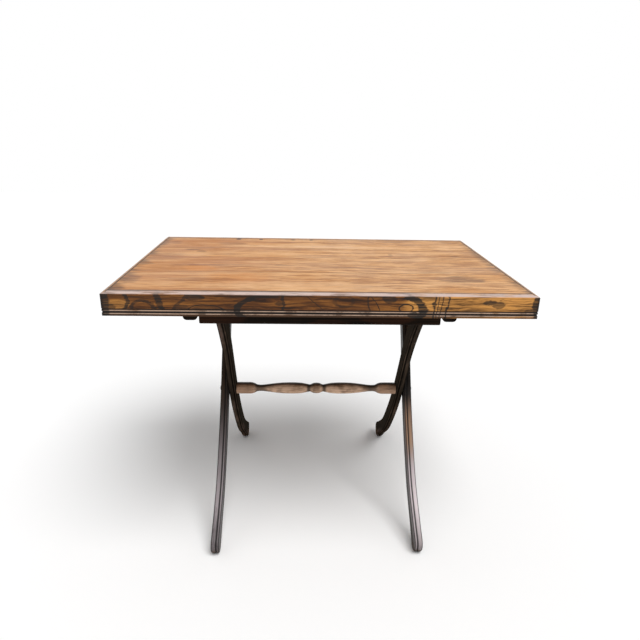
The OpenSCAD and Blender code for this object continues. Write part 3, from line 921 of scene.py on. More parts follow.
@dataclass(frozen=True)
class TurnedWood:
    """Wood of the stretcher, pale on its front from rubbing and painted light, dark on its top, back
    and underside as painted shade, and dark at its necks and shoulders.
    """

    neck: float
    shoulder: float
    ball: float
    dark: Tint = (84, 62, 46)
    brown: Tint = (142, 108, 80)
    pale: Tint = (212, 176, 148)
    block: Tint = (138, 100, 74)
    black: Tint = (34, 25, 18)

    def material(self, name: str) -> bpy.types.Material:
        """Build the finish under a name."""
        recipe = Recipe(name, roughness=0.42, specular=0.25)
        grain = recipe.noise((13, 260, 260), 4, 0.62, 4.0, 0.3)
        cloud = recipe.noise((38, 38, 38), 3, 0.55, 6.0)
        mixed = recipe.math("ADD", recipe.math("MULTIPLY", grain, 0.65),
                            recipe.math("MULTIPLY", cloud, 0.35))
        # Painted light: a dark copy for the shaded top, back and underside, and a pale copy on the
        # front, partly rubbing.
        colour = recipe.ramp(mixed, (0.36, self.black), (0.62, self.dark))
        rubbed_and_lit = recipe.ramp(mixed, (0.36, self.brown), (0.56, self.pale))
        span = recipe.math("ABSOLUTE", recipe.x)
        on_block = recipe.step(span, self.shoulder, self.shoulder + 6 * MM, 0.0, 1.0)
        rubbed_and_lit = recipe.mix(recipe.math("MULTIPLY", on_block, cloud), rubbed_and_lit, self.block)
        front = recipe.step(recipe.y, -4 * MM, -12 * MM, 0.0, 1.0)
        front = recipe.math("MULTIPLY", front, recipe.step(cloud, 0.30, 0.55, 0.65, 1.0))
        colour = recipe.mix(front, colour, rubbed_and_lit)
        neck = recipe.inside(span, self.neck, self.shoulder, 9 * MM)
        throat = recipe.inside(span, self.ball, self.ball + 9 * MM, 3 * MM)
        deep = recipe.math("MAXIMUM", recipe.math("MULTIPLY", neck, 0.75), throat)
        colour = recipe.mix(recipe.math("MULTIPLY", deep, 0.8), colour, self.black)
        rough = recipe.step(cloud, 0.3, 0.7, 0.32, 0.5)
        return recipe.finish(colour, rough, grain, 0.2 * MM)


@dataclass(frozen=True)
class Metal:
    """Old iron or steel, dull and mottled."""

    dark: Tint = (38, 35, 32)
    light: Tint = (92, 86, 80)
    rust: Tint = (92, 58, 38)
    roughness: float = 0.5

    def material(self, name: str) -> bpy.types.Material:
        """Build the finish under a name."""
        recipe = Recipe(name, roughness=self.roughness, metallic=0.85)
        mottle = recipe.noise((260, 260, 260), 4, 0.6)
        stain = recipe.noise((90, 90, 90), 3, 0.6, 5.0)
        colour = recipe.ramp(mottle, (0.35, self.dark), (0.65, self.light))
        colour = recipe.mix(recipe.step(stain, 0.5, 0.7, 0.0, 0.6), colour, self.rust)
        rough = recipe.step(mottle, 0.3, 0.7, 0.38, 0.62)
        return recipe.finish(colour, rough, mottle, 0.1 * MM)


@dataclass(frozen=True)
class DowelWood:
    """Bare beech of the dowels."""

    light: Tint = (196, 160, 116)
    dark: Tint = (160, 120, 80)

    def material(self, name: str) -> bpy.types.Material:
        """Build the finish under a name."""
        recipe = Recipe(name, roughness=0.6)
        grain = recipe.noise((700, 30, 700), 3, 0.6)
        colour = recipe.ramp(grain, (0.35, self.dark), (0.65, self.light))
        return recipe.finish(colour, None, grain, 0.1 * MM)


# Table top


@dataclass
class TableTop:
    """The boards and their moulded edging."""

    wave: float = 0.35 * MM
    bisect_step: float = 38 * MM
    arris: float = 0.7 * MM
    edge_h: float = 49 * MM
    edge_w: float = 22 * MM
    end_w: float = 10 * MM
    nosing_w: float = 9 * MM
    nosing_drop: float = 3 * MM
    fascia_h: float = 33.5 * MM
    quirk_depth: float = 2 * MM
    upper_quirk: float = 2 * MM
    lower_quirk: float = 3.5 * MM
    upper_bead: float = 1.8 * MM
    lower_bead: float = 1.5 * MM
    front_corner_r: float = 4 * MM
    back_corner_r: float = 10 * MM

    def __post_init__(self) -> None:
        """Take the overall sizes from the frame."""
        low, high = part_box("front_edging")
        self.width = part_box("right_edging")[1].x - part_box("left_edging")[0].x
        self.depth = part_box("back_edging")[1].y - low.y
        self.top_z = high.z
        self.base_z = high.z - self.edge_h

    def board_marks(self) -> dict[str, tuple[float, float, tuple[Spot, ...]]]:
        """Return each board's seed, tone and spots."""
        knot, brown, grey = Stain.KNOT, Stain.BROWN, Stain.GREY
        orange, nail = Stain.ORANGE, Stain.NAIL
        return {
            "board_1": (1.0, 0.0, (
                Spot(orange, -0.19, -0.177, 0.075, 0.042, 0.6),
                Spot(Stain.PALE, -0.01, -0.235, 0.20, 0.040, 0.55),
                Spot(brown, -0.27, -0.192, 0.085, 0.018, 0.8),
                Spot(knot, -0.425, -0.190, 0.022, 0.034, 0.7),
                Spot(knot, -0.436, -0.266, 0.022, 0.014, 0.85),
                Spot(grey, 0.323, -0.168, 0.052, 0.030, 0.95),
                Spot(brown, 0.26, -0.160, 0.060, 0.014, 0.5),
                Spot(brown, 0.091, -0.204, 0.036, 0.012, 0.75),
                Spot(brown, 0.192, -0.182, 0.016, 0.014, 0.6),
                Spot(brown, 0.40, -0.215, 0.030, 0.012, 0.6))),
            "board_2": (5.0, -0.005, (
                Spot(orange, -0.294, -0.090, 0.050, 0.026, 0.75),
                Spot(Stain.CRACK, -0.30, -0.054, 0.060, 0.0075, 0.95),
                Spot(brown, -0.22, -0.058, 0.045, 0.012, 0.6),
                Spot(knot, -0.43, -0.040, 0.020, 0.012, 0.7),
                Spot(brown, -0.395, 0.012, 0.040, 0.020, 0.75),
                Spot(knot, -0.092, -0.049, 0.020, 0.010, 0.6),
                Spot(brown, -0.03, -0.045, 0.060, 0.010, 0.4),
                Spot(grey, 0.285, -0.108, 0.042, 0.012, 0.5),
                Spot(brown, 0.385, -0.020, 0.040, 0.022, 0.65),
                Spot(knot, 0.43, -0.065, 0.014, 0.014, 0.45))),
            "board_3": (9.0, 0.0, (
                Spot(brown, -0.40, 0.052, 0.045, 0.024, 0.8),
                Spot(knot, -0.346, 0.122, 0.022, 0.010, 0.7),
                Spot(knot, -0.318, 0.100, 0.014, 0.010, 0.6),
                Spot(brown, -0.25, 0.066, 0.040, 0.012, 0.5),
                Spot(knot, 0.198, 0.080, 0.006, 0.012, 0.5),
                Spot(knot, 0.370, 0.072, 0.022, 0.010, 0.6),
                Spot(brown, 0.418, 0.078, 0.026, 0.030, 0.65),
                Spot(brown, 0.33, 0.045, 0.040, 0.010, 0.45))),
            "board_4": (14.0, 0.005, (
                Spot(brown, -0.249, 0.206, 0.040, 0.022, 0.8),
                Spot(Stain.PALE, 0.02, 0.172, 0.300, 0.012, 0.7),
                Spot(knot, 0.225, 0.252, 0.030, 0.010, 0.5),
                Spot(brown, 0.20, 0.262, 0.070, 0.012, 0.5),
                Spot(grey, 0.405, 0.255, 0.030, 0.022, 0.5),
                Spot(knot, -0.41, 0.215, 0.016, 0.022, 0.45),
                Spot(nail, -0.235, 0.272, 0.009, 0.008, 1.0),
                Spot(nail, -0.167, 0.273, 0.006, 0.007, 1.0),
                Spot(nail, -0.069, 0.270, 0.008, 0.007, 0.9),
                Spot(nail, -0.015, 0.272, 0.006, 0.006, 0.8))),
        }

    def board(self, name: str) -> None:
        """Make one board, planed by hand and slightly hollow between its arrises."""
        low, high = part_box(name)
        piece = add_box("Top." + name, low, high)
        with editing(piece):
            cuts = int((high.x - low.x) / self.bisect_step)
            for index in range(1, cuts):
                place = low.x + (high.x - low.x) * index / cuts
                bpy.ops.mesh.select_all(action="SELECT")
                bpy.ops.mesh.bisect(plane_co=(place, 0, 0), plane_no=(1, 0, 0))
            for share in (0.12, 0.35, 0.65, 0.88):
                place = low.y + (high.y - low.y) * share
                bpy.ops.mesh.select_all(action="SELECT")
                bpy.ops.mesh.bisect(plane_co=(0, place, 0), plane_no=(0, 1, 0))
        group = piece.vertex_groups.new(name="face")
        inner = [v.index for v in piece.data.vertices if v.co.z > high.z - WELD
                 and low.y + WELD < v.co.y < high.y - WELD and abs(v.co.x) < high.x - WELD]
        group.add(inner, 1.0, "REPLACE")
        ripple = bpy.data.textures.new("ripple", "CLOUDS")
        ripple.noise_scale = 0.11
        apply_modifier(piece, "DISPLACE", texture=ripple, vertex_group="face", direction="Z",
                       mid_level=1.0, strength=self.wave, texture_coords="GLOBAL")
        soften(piece, self.arris, 60)
        shade(piece, 30)
        seed, tone, spots = self.board_marks()[name]
        wood = BoardWood(low.y, high.y, self.width / 2 - self.end_w, low.z, seed, tone, spots)
        hand_over(piece, Body.TOP, Slot.TOP, wood.material("Wood." + name), name)

    def section(self, width: float) -> list[Vector]:
        """Return the edging's section: X is the depth from the face, Z the height."""
        base = self.base_z
        quirk_top = self.edge_h - self.fascia_h
        upper_mid = quirk_top - self.upper_quirk - self.upper_bead
        lower_top = upper_mid - self.upper_bead
        lower_mid = lower_top - self.lower_quirk - self.lower_bead
        points = [(width, 0.0), (0.0, 0.0)]
        for middle, radius, floor in ((lower_mid, self.lower_bead, lower_top),
                                      (upper_mid, self.upper_bead, quirk_top)):
            points.append((0.0 if middle == lower_mid else self.quirk_depth, middle - radius))
            if middle == lower_mid:
                points.append((radius, middle - radius))
            for index in range(1, 8):
                angle = -math.pi / 2 + math.pi * index / 8
                points.append((radius - radius * math.cos(angle), middle + radius * math.sin(angle)))
            points.append((self.quirk_depth, middle + radius))
            points.append((self.quirk_depth, floor))
        points.append((0.0, quirk_top))
        radius = (self.nosing_w ** 2 + self.nosing_drop ** 2) / (2 * self.nosing_drop)
        span = math.asin(self.nosing_w / radius)
        for index in range(9):
            angle = span * (1 - index / 8)
            points.append((self.nosing_w - radius * math.sin(angle),
                           self.edge_h - radius + radius * math.cos(angle)))
        points.append((width, self.edge_h))
        tidy = [points[0]]
        for point in points[1:]:
            if math.dist(point, tidy[-1]) > WELD:
                tidy.append(point)
        return [Vector((0, depth, base + height)) for depth, height in tidy]

    def edging(self, side: Side) -> None:
        """Make one side's edging, mitred to its neighbours."""
        name = side.name.lower() + "_edging"
        ends = side in (Side.LEFT, Side.RIGHT)
        length = self.depth if ends else self.width
        reach = (self.width if ends else self.depth) / 2
        section = self.section(self.end_w if ends else self.edge_w)
        points = [p + Vector((-length / 2, -reach, 0)) for p in section]
        piece = draw_section("Top." + name, points)
        with editing(piece):
            bpy.ops.mesh.select_all(action="SELECT")
            extrude(Vector((length, 0, 0)))
            depths = sorted({round(p.y, 6) for p in points})
            for depth in depths:
                for end in (-1, 1):
                    choose("verts", lambda v: abs(v.co.y - depth) < WELD and v.co.x * end > 0)
                    inward = min(depth + reach, self.end_w)
                    bpy.ops.transform.translate(value=(-end * inward, 0, 0))
            outward()
        piece.rotation_euler = (0, 0, math.pi / 2 * side.value)
        settle(piece)
        self.round_corners(piece)
        soften(piece, 0.4 * MM, 42, 2)
        shade(piece, 32)
        quirk_top = self.base_z + self.edge_h - self.fascia_h
        lower_top = quirk_top - self.upper_quirk - 2 * self.upper_bead
        low_z = lower_top - self.lower_quirk - 2 * self.lower_bead
        beads = (lower_top + self.upper_bead, low_z + self.lower_bead)
        glows = (Smudge(0.33, quirk_top + 12 * MM, 0.16, 0.04, 0.85),
                 Smudge(-0.425, quirk_top + 10 * MM, 0.03, 0.01, 0.45),
                 Smudge(0.205, quirk_top + 20 * MM, 0.03, 0.01, 0.5))
        # On the front the nosing's pale pinkish tint is a painted highlight.
        wood = EdgingWood(
            along_y=ends, seed=3.0 + 4 * side.value, half_length=length / 2, reach=reach,
            width=self.end_w if ends else self.edge_w, top_z=self.top_z,
            fascia=quirk_top, quirks=((quirk_top - self.upper_quirk, quirk_top),
                                      (lower_top - self.lower_quirk, lower_top)),
            beads=beads, marks=self.figure(side, quirk_top),
            glows=glows if side is Side.FRONT else (Smudge(0.05, quirk_top + 15 * MM, 0.1,
                                                           0.03, 0.5),),
            worn_and_lit=(208, 184, 174) if side is Side.FRONT else (190, 144, 102))
        hand_over(piece, Body.TOP, Slot.EDGING, wood.material("Wood." + name), name)

    def round_corners(self, piece: bpy.types.Object) -> None:
        """Round the top's corners, seen from above."""
        room = 5 * MM
        slab = add_box("slab", Vector((-self.width / 2, -self.depth / 2, self.base_z - room)),
                       Vector((self.width / 2, self.depth / 2, self.top_z + room)))
        with editing(slab, "EDGE"):
            for side, radius in ((-1, self.front_corner_r), (1, self.back_corner_r)):
                choose("edges", lambda e: (abs(e.verts[0].co.z - e.verts[1].co.z) > room
                                           and e.verts[0].co.y * side > 0))
                bpy.ops.mesh.bevel(offset=radius, segments=10, profile=0.5)
        apply_modifier(piece, "BOOLEAN", operation="INTERSECT", object=slab, solver="EXACT")
        bpy.data.objects.remove(slab)

    def figure(self, side: Side, base: float) -> tuple[Mark, ...]:
        """Return the dark figure in one side's fascia, from its lower edge at height base."""
        low, high = base - 2 * MM, base + self.fascia_h
        if side is Side.FRONT:
            return (
                Smudge(-0.455, base + 0.012, 0.015, 0.040, 0.95, True),
                Smudge(-0.440, base + 0.002, 0.014, 0.010, 0.7),
                Streak(-0.404, low, high, 0.008, 0.003, -0.007, 0.9),
                Ring(-0.374, base + 0.003, 0.022, 0.015, 0.006, 0.75),
                Streak(-0.340, low, high, 0.014, -0.004, 0.0, 0.95),
                Streak(-0.295, low, high, 0.008, 0.016, 0.0, 0.8),
                Smudge(-0.266, base + 0.026, 0.022, 0.006, 0.9),
                Smudge(-0.292, base + 0.004, 0.018, 0.006, 0.6),
                Ring(-0.243, base - 0.004, 0.038, 0.014, 0.0018, 0.95),
                Smudge(-0.243, base + 0.001, 0.030, 0.006, 0.5),
                Ring(-0.134, base + 0.000, 0.044, 0.025, 0.009, 0.95, -1, True),
                Smudge(-0.120, base + 0.028, 0.030, 0.004, 0.7),
                Streak(-0.083, low, high, 0.007, 0.0, 0.0, 0.95),
                Smudge(-0.092, base + 0.014, 0.008, 0.005, 0.7),
                Streak(-0.019, base + 0.001, high, 0.0022, -0.019, 0.0, 0.95),
                Ring(0.044, base + 0.020, 0.020, 0.012, 0.004, 0.4),
                Streak(0.093, low, high, 0.0034, -0.003, 0.004, 0.75),
                Streak(0.110, base + 0.001, high, 0.0024, -0.011, -0.003, 0.95),
                Smudge(0.138, base + 0.026, 0.016, 0.009, 0.95),
                Ring(0.174, base + 0.006, 0.0150, 0.0085, 0.0020, 1.0),
                Ring(0.166, base + 0.004, 0.044, 0.026, 0.011, 1.0, 1, True),
                Smudge(0.190, base - 0.008, 0.018, 0.006, 0.9, True),
                Streak(0.234, low - 0.015, high, 0.0036, 0.002, 0.0, 0.9, True),
                Smudge(0.234, base + 0.015, 0.004, 0.006, 1.0),
                Streak(0.2405, low - 0.015, high, 0.0018, 0.003, 0.0, 0.9, True),
                Streak(0.248, low - 0.015, high, 0.0020, 0.004, 0.0, 0.9, True),
                Streak(0.259, low - 0.015, high, 0.0042, 0.004, 0.0, 0.95, True),
                Smudge(0.350, base + 0.019, 0.016, 0.006, 0.85),
                Smudge(0.371, base + 0.014, 0.014, 0.008, 0.75),
                Smudge(0.455, base + 0.010, 0.014, 0.030, 0.95, True),
                Smudge(0.440, base + 0.000, 0.018, 0.006, 0.8),
            )
        if side is Side.BACK:
            return (
                Smudge(-0.440, base + 0.013, 0.024, 0.020, 0.75),
                Streak(-0.352, low, high, 0.009, 0.006, 0.004, 0.75),
                Ring(-0.250, base + 0.002, 0.050, 0.022, 0.006, 0.7, 1),
                Streak(-0.155, low, high, 0.0022, 0.012, 0.0, 0.75),
                Smudge(-0.080, base + 0.020, 0.030, 0.008, 0.6),
                Ring(0.010, base - 0.006, 0.056, 0.022, 0.0022, 0.8),
                Ring(0.000, base - 0.006, 0.036, 0.014, 0.0016, 0.7),
                Streak(0.092, low, high, 0.012, -0.004, 0.0, 0.8),
                Streak(0.180, low, high, 0.0020, -0.016, 0.0, 0.75),
                Ring(0.265, base + 0.028, 0.040, 0.018, 0.007, 0.7, -1),
                Smudge(0.375, base + 0.008, 0.028, 0.010, 0.6),
                Smudge(0.450, base + 0.014, 0.016, 0.026, 0.8),
            )
        turn = 1.0 if side is Side.RIGHT else -1.0
        return (
            Smudge(-0.290 * turn, base + 0.014, 0.018, 0.026, 0.8),
            Streak(-0.205 * turn, low, high, 0.008, 0.005, 0.0, 0.75),
            Ring(-0.120 * turn, base + 0.004, 0.034, 0.020, 0.005, 0.7, 1),
            Smudge(-0.020 * turn, base + 0.026, 0.034, 0.006, 0.7),
            Ring(0.075 * turn, base - 0.006, 0.048, 0.023, 0.0022, 0.8),
            Ring(0.082 * turn, base - 0.006, 0.030, 0.014, 0.0016, 0.7),
            Smudge(0.150 * turn, base + 0.024, 0.026, 0.007, 0.7),
            Streak(0.222 * turn, low, high, 0.010, -0.006, 0.0, 0.75),
            Smudge(0.292 * turn, base + 0.012, 0.016, 0.026, 0.8),
        )

    def build(self) -> None:
        """Make the boards and the edging."""
        for name in self.board_marks():
            self.board(name)
        for side in Side:
            self.edging(side)


# Underside


@dataclass
class Underside:
    """The bearers, the cleat and the stop strip, with their screws."""

    bearer_round: float = 9 * MM
    arris: float = 1.2 * MM
    pocket_d: float = 10.2 * MM
    head_d: float = 10 * MM
    shank_d: float = 5 * MM
    head_h: float = 3 * MM
    slot_w: float = 1.1 * MM
    slot_depth: float = 1.0 * MM

    def screw(self, name: str, low_z: float, high_z: float) -> bpy.types.Object:
        """Make one slotted wood screw that stands on the origin, head down."""
        length = high_z - low_z
        head, shank = self.head_d / 2, self.shank_d / 2
        outline = [(0.0, 0.3 * head), (0.02 * MM, head * 0.94), (0.25 * MM, head),
                   (0.5 * MM, head * 0.98), (self.head_h, shank), (0.42 * length, shank)]
        turns, pitch = 7, 2.2 * MM
        for index in range(turns):
            start = 0.42 * length + index * pitch
            outline += [(start + 0.2 * pitch, 0.72 * shank), (start + 0.7 * pitch, 0.72 * shank),
                        (start + pitch, 0.98 * shank)]
        outline += [(length - 0.5 * MM, 0.45 * shank), (length, 0.15 * shank)]
        piece = turn_on_lathe(name, outline, 0.0, 24)
        half = self.slot_w / 2
        slot = add_box("slot", Vector((-MM, -self.head_d, -half)),
                       Vector((self.slot_depth, self.head_d, half)))
        cut_away(piece, slot)
        piece.rotation_euler = (0, -math.pi / 2, 0)
        settle(piece)
        piece.data.transform(Matrix.Translation((0, 0, low_z)))
        shade(piece, 30)
        return piece

    def screw_places(self, node: str) -> tuple[list[Vector], float, float]:
        """Return the screws' places and their lowest and highest points, from the node."""
        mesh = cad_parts[node].data
        low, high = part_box(node)
        groups: list[list[Vector]] = []
        for vertex in mesh.vertices:
            for group in groups:
                if (group[0] - vertex.co).xy.length < 2 * self.head_d:
                    group.append(vertex.co)
                    break
            else:
                groups.append([vertex.co])
        places = []
        for group in groups:
            xs = [p.x for p in group]
            ys = [p.y for p in group]
            places.append(Vector(((min(xs) + max(xs)) / 2, (min(ys) + max(ys)) / 2, 0)))
        return sorted(places, key=lambda p: (round(p.x, 3), round(p.y, 3))), low.z, high.z

    def screws(self, node: str) -> list[Vector]:
        """Make the screws that stand for a node, each turned a little differently."""
        places, low_z, high_z = self.screw_places(node)
        model = self.screw("model", low_z, high_z)
        copies = []
        for index, place in enumerate(places):
            turn = Matrix.Rotation(0.9 * index, 4, "Z")
            copies.append(copied(model, "screw", Matrix.Translation(place) @ turn))
        bpy.data.objects.remove(model)
        piece = joined("Underside." + node, copies)
        hand_over(piece, Body.TOP, Slot.SCREW, Metal().material("Steel." + node), node)
        return places

    def pockets(self, places: Sequence[Vector], low_z: float, head_z: float) -> bpy.types.Object:
        """Make the cutter for the screws' pockets, from below up to their heads."""
        rods = []
        for place in places:
            deselect_all()
            bpy.ops.mesh.primitive_cylinder_add(
                vertices=32, radius=self.pocket_d / 2, depth=head_z - low_z + 2 * MM,
                location=(place.x, place.y, (head_z + low_z) / 2 - MM))
            rods.append(bpy.context.object)
            settle(rods[-1])
        return joined("pockets", rods)

    def bar(self, node: str, places: Sequence[Vector], head_z: float, rounded: bool,
            seed: float) -> None:
        """Make a bearer, the cleat or the strip, with its screw pockets.

        Args:
            node: The node it stands for.
            places: Its screws' places.
            head_z: The height of their heads' lower faces.
            rounded: Whether its lower arrises are rounded, as a bearer's are.
            seed: Moves the grain.
        """
        low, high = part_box(node)
        piece = add_box("Underside." + node, low, high)
        if rounded:
            with editing(piece, "EDGE"):
                choose("edges", lambda e: all(v.co.z < low.z + WELD for v in e.verts)
                       and abs(e.verts[0].co.x - e.verts[1].co.x) < WELD)
                bpy.ops.mesh.bevel(offset=self.bearer_round, segments=8, profile=0.5)
        soften(piece, self.arris, 50, 3)
        inside = [p for p in places if low.x < p.x < high.x and low.y < p.y < high.y]
        cut_away(piece, self.pockets(inside, low.z, head_z))
        shade(piece, 35)
        wood = DarkWood(seed, along_y=rounded)
        hand_over(piece, Body.TOP, Slot.DARK, wood.material("Wood." + node), node)

    def build(self) -> None:
        """Make the bars and their screws."""
        seeds = iter((2.0, 5.0, 8.0, 11.0))
        for nodes, screws in ((("left_bearer", "right_bearer"), "bearer_screws"),
                              (("rear_cleat",), "cleat_screws"), (("stop_strip",), "strip_screws")):
            places = self.screws(screws)
            head_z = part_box(screws)[0].z
            for node in nodes:
                self.bar(node, places, head_z, screws == "bearer_screws", next(seeds))


# Legs and rails


def curve(knots: Sequence, steps: int) -> list:
    """Run a smooth curve through knots, which are points or numbers."""
    result = []
    last = len(knots) - 1
    for index in range(last):
        a, b = knots[max(0, index - 1)], knots[index]
        c, d = knots[index + 1], knots[min(last, index + 2)]
        for step in range(steps):
            t = step / steps
            result.append(b + (c - a + (2 * a - 5 * b + 4 * c - d
                                        + (3 * b - a - 3 * c + d) * t) * t) * t / 2)
    result.append(knots[last])
    return result


@dataclass
class Station:
    """A place on a leg's middle line, with the unit vector across it and the leg's width."""

    middle: Vector
    across: Vector
    width: float


@dataclass
class SabreLegs:
    """The four reeded sabre legs."""

    thickness: float = 20 * MM
    top_w: float = 50 * MM
    mid_w: float = 38 * MM
    ankle_w: float = 38 * MM
    toe_r: float = 25 * MM
    outer_reach: float = 270 * MM
    inner_reach: float = 278 * MM
    pivot_z: float = 320 * MM
    rail_reach: float = 189 * MM
    reed: float = 2 * MM
    plain: float = 2 * MM
    narrow_w: float = 3.5 * MM
    line_w: float = 3.5 * MM
    broad_w: float = 9 * MM
    arris: float = 0.7 * MM
    steps: int = 4
    foot_shares: tuple[tuple[float, float], ...] = (
        (0.86, 0.165), (0.585, 0.35), (0.34, 0.59), (0.18, 0.772), (0.05, 0.94))
    arm_shares: tuple[tuple[float, float], ...] = (
        (0.19, 0.22), (0.42, 0.476), (0.72, 0.743), (1.06, 1.0), (1.13, 1.05))

    def __post_init__(self) -> None:
        """Take the heights and places from the frame."""
        self.rail_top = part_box("rear_rail")[1].z
        self.rail_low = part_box("rear_rail")[0].z
        self.outer_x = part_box("right_outer_leg")[0].x
        self.inner_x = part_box("right_inner_leg")[0].x

    def knots(self, reach: float) -> tuple[list[Vector], list[float]]:
        """Return the middle line's knots, from the toe at reach up, and the widths there."""
        toe_z = self.toe_r * (1 - 1 / 16)
        rise = self.rail_top - self.pivot_z
        line = [Vector((0, -reach, toe_z))]
        line += [Vector((0, -reach * y, self.pivot_z * z)) for y, z in self.foot_shares]
        line += [Vector((0, self.rail_reach * y, self.pivot_z + rise * z))
                 for y, z in self.arm_shares]
        ankle, mid, top = self.ankle_w, self.mid_w, self.top_w
        widths = [1.96 * self.toe_r, 1.10 * ankle, ankle, ankle, (ankle + mid) / 2, mid, mid, mid,
                  (mid + top) / 2, top, top]
        return line, widths

    def stations(self, reach: float) -> list[Station]:
        """Return the stations from the upper end down to the middle of the toe."""
        knots, widths = self.knots(reach)
        line = curve(knots, self.steps)
        spans = curve(widths, self.steps)
        result = []
        for index, (middle, width) in enumerate(zip(line, spans)):
            before = line[max(0, index - 1)]
            after = line[min(len(line) - 1, index + 1)]
            along = (after - before).normalized()
            result.append(Station(middle, Vector((0, -along.z, along.y)), width))
        return result[::-1]

    def bow(self, reach: float) -> Vector:
        """Fit the middle line by three powers of the height above the crossing."""
        spots = [(station.middle.z - self.pivot_z, station.middle.y)
                 for station in self.stations(reach)]
        squares = Matrix([[sum(rise ** (row + column) for rise, _ in spots)
                           for column in (1, 2, 3)] for row in (1, 2, 3)])
        return squares.inverted() @ Vector([sum(place * rise ** row for rise, place in spots)
                                            for row in (1, 2, 3)])

    def profile(self) -> list[tuple[float, float]]:
        """Return half the section: place across the table and depth below the reeds' crowns."""
        soft = self.arris
        points = [(0.0, self.reed + soft), (0.3 * soft, self.reed + 0.3 * soft),
                  (soft, self.reed)]
        middle = self.plain + self.narrow_w / 2
        for index in range(9):
            angle = math.pi * (index / 8 - 0.5)
            points.append((middle + self.narrow_w / 2 * math.sin(angle),
                           self.reed * (1 - math.cos(angle))))
        start = self.plain + self.narrow_w + self.line_w
        shoulder = ((0.0, 1.0), (0.02, 0.6), (0.07, 0.28), (0.16, 0.1), (0.3, 0.02), (0.5, 0.0))
        shoulder += tuple((1 - x, d) for x, d in shoulder[-2::-1])
        points += [(start + self.broad_w * x, self.reed * d) for x, d in shoulder]
        points += [(self.thickness - soft, self.reed),
                   (self.thickness - 0.3 * soft, self.reed + 0.3 * soft),
                   (self.thickness, self.reed + soft)]
        return points

    def ring(self, station: Station) -> list[Vector]:
        """Return the section's corners at a station, the lower side of the table first."""
        half = station.width / 2
        upper = [Vector((x, 0, 0)) + station.middle + station.across * (half - depth)
                 for x, depth in self.profile()]
        lower = [Vector((x, 0, 0)) + station.middle - station.across * (half - depth)
                 for x, depth in self.profile()]
        waist = [station.middle + Vector((x, 0, 0)) for x in (self.thickness, 0.0)]
        return upper + [waist[0]] + lower[::-1] + [waist[1]]

    def model(self, reach: float) -> bpy.types.Object:
        """Sweep the reeded section down a leg with its toe at reach, and round the toe."""
        stations = self.stations(reach)
        piece = draw_section("leg_model", self.ring(stations[0]))
        with editing(piece, "FACE"):
            bpy.ops.mesh.select_all(action="SELECT")
            for here, there in zip(stations, stations[1:]):
                extrude(there.middle - here.middle)
                bend = there.across.cross(here.across).x
                turn = math.asin(max(-1.0, min(1.0, bend)))
                bpy.ops.transform.rotate(value=turn, orient_axis="X",
                                         center_override=there.middle)
                self.spread(there, here.width)
            self.spin_toe(stations[-1])
            outward()
        weld(piece)
        trim(piece, Vector((0, 0, 0)), Vector((0, 0, -1)))
        trim(piece, Vector((0, 0, self.rail_top)), Vector((0, 0, 1)))
        lap = add_box("lap", Vector((-MM, self.rail_reach, self.rail_low)),
                      Vector((self.thickness + MM, 1.5 * self.rail_reach, self.rail_top + MM)))
        cut_away(piece, lap)
        return piece

    def spread(self, station: Station, width: float) -> None:
        """Move the two halves of the selected ring apart, from a width to the station's."""
        mesh = bpy.context.object.data
        shape = bmesh.from_edit_mesh(mesh)
        change = (station.width - width) / 2
        for vertex in (v for v in shape.verts if v.select):
            side = (vertex.co - station.middle).dot(station.across)
            if abs(side) > WELD:
                vertex.co += station.across * (change if side > 0 else -change)
        bmesh.update_edit_mesh(mesh)

    def spin_toe(self, station: Station) -> None:
        """Spin the rear half of the last ring about the toe, and close it on the front half."""
        bpy.ops.mesh.delete(type="ONLY_FACE")
        along = Vector((0, station.across.z, -station.across.y))

        def on_half(edge: bmesh.types.BMEdge) -> bool:
            spots = [v.co - station.middle for v in edge.verts]
            return all(abs(s.dot(along)) < WELD and s.dot(station.across) < WELD for s in spots)

        bpy.ops.mesh.select_mode(type="EDGE")
        choose("edges", on_half)
        bpy.ops.mesh.spin(steps=16, angle=math.pi, center=station.middle, axis=(1, 0, 0))
        bpy.ops.mesh.select_all(action="SELECT")
        bpy.ops.mesh.remove_doubles(threshold=WELD)

    def build(self) -> None:
        """Make each pair of legs from one model."""
        x_mirror = Matrix.Scale(-1, 4, (1, 0, 0))
        y_mirror = Matrix.Scale(-1, 4, (0, 1, 0))
        line_start = self.plain + self.narrow_w
        for outer in (True, False):
            reach = self.outer_reach if outer else self.inner_reach
            model = self.model(reach)
            shade(model, 32)
            inside = self.outer_x if outer else self.inner_x
            wood = LegWood(outer, inside, self.pivot_z, self.bow(reach),
                           (line_start, line_start + self.line_w), self.plain, self.thickness)
            if not outer:
                wood = replace(wood, black=(27, 22, 18), dark=(52, 44, 37), brown=(86, 70, 56),
                               sides=(50, 45, 39))
            finish = wood.material("Wood.outer_legs" if outer else "Wood.inner_legs")
            place = Matrix.Translation((inside, 0, 0))
            if not outer:
                place = place @ y_mirror
            for left in (True, False):
                node = ("left_" if left else "right_") + ("outer_leg" if outer else "inner_leg")
                spot = x_mirror @ place if left else place
                piece = copied(model, "Legs." + node, spot)
                body = Body.OUTER if outer else Body.INNER
                hand_over(piece, body, Slot.LEG, finish, node)
            bpy.data.objects.remove(model)


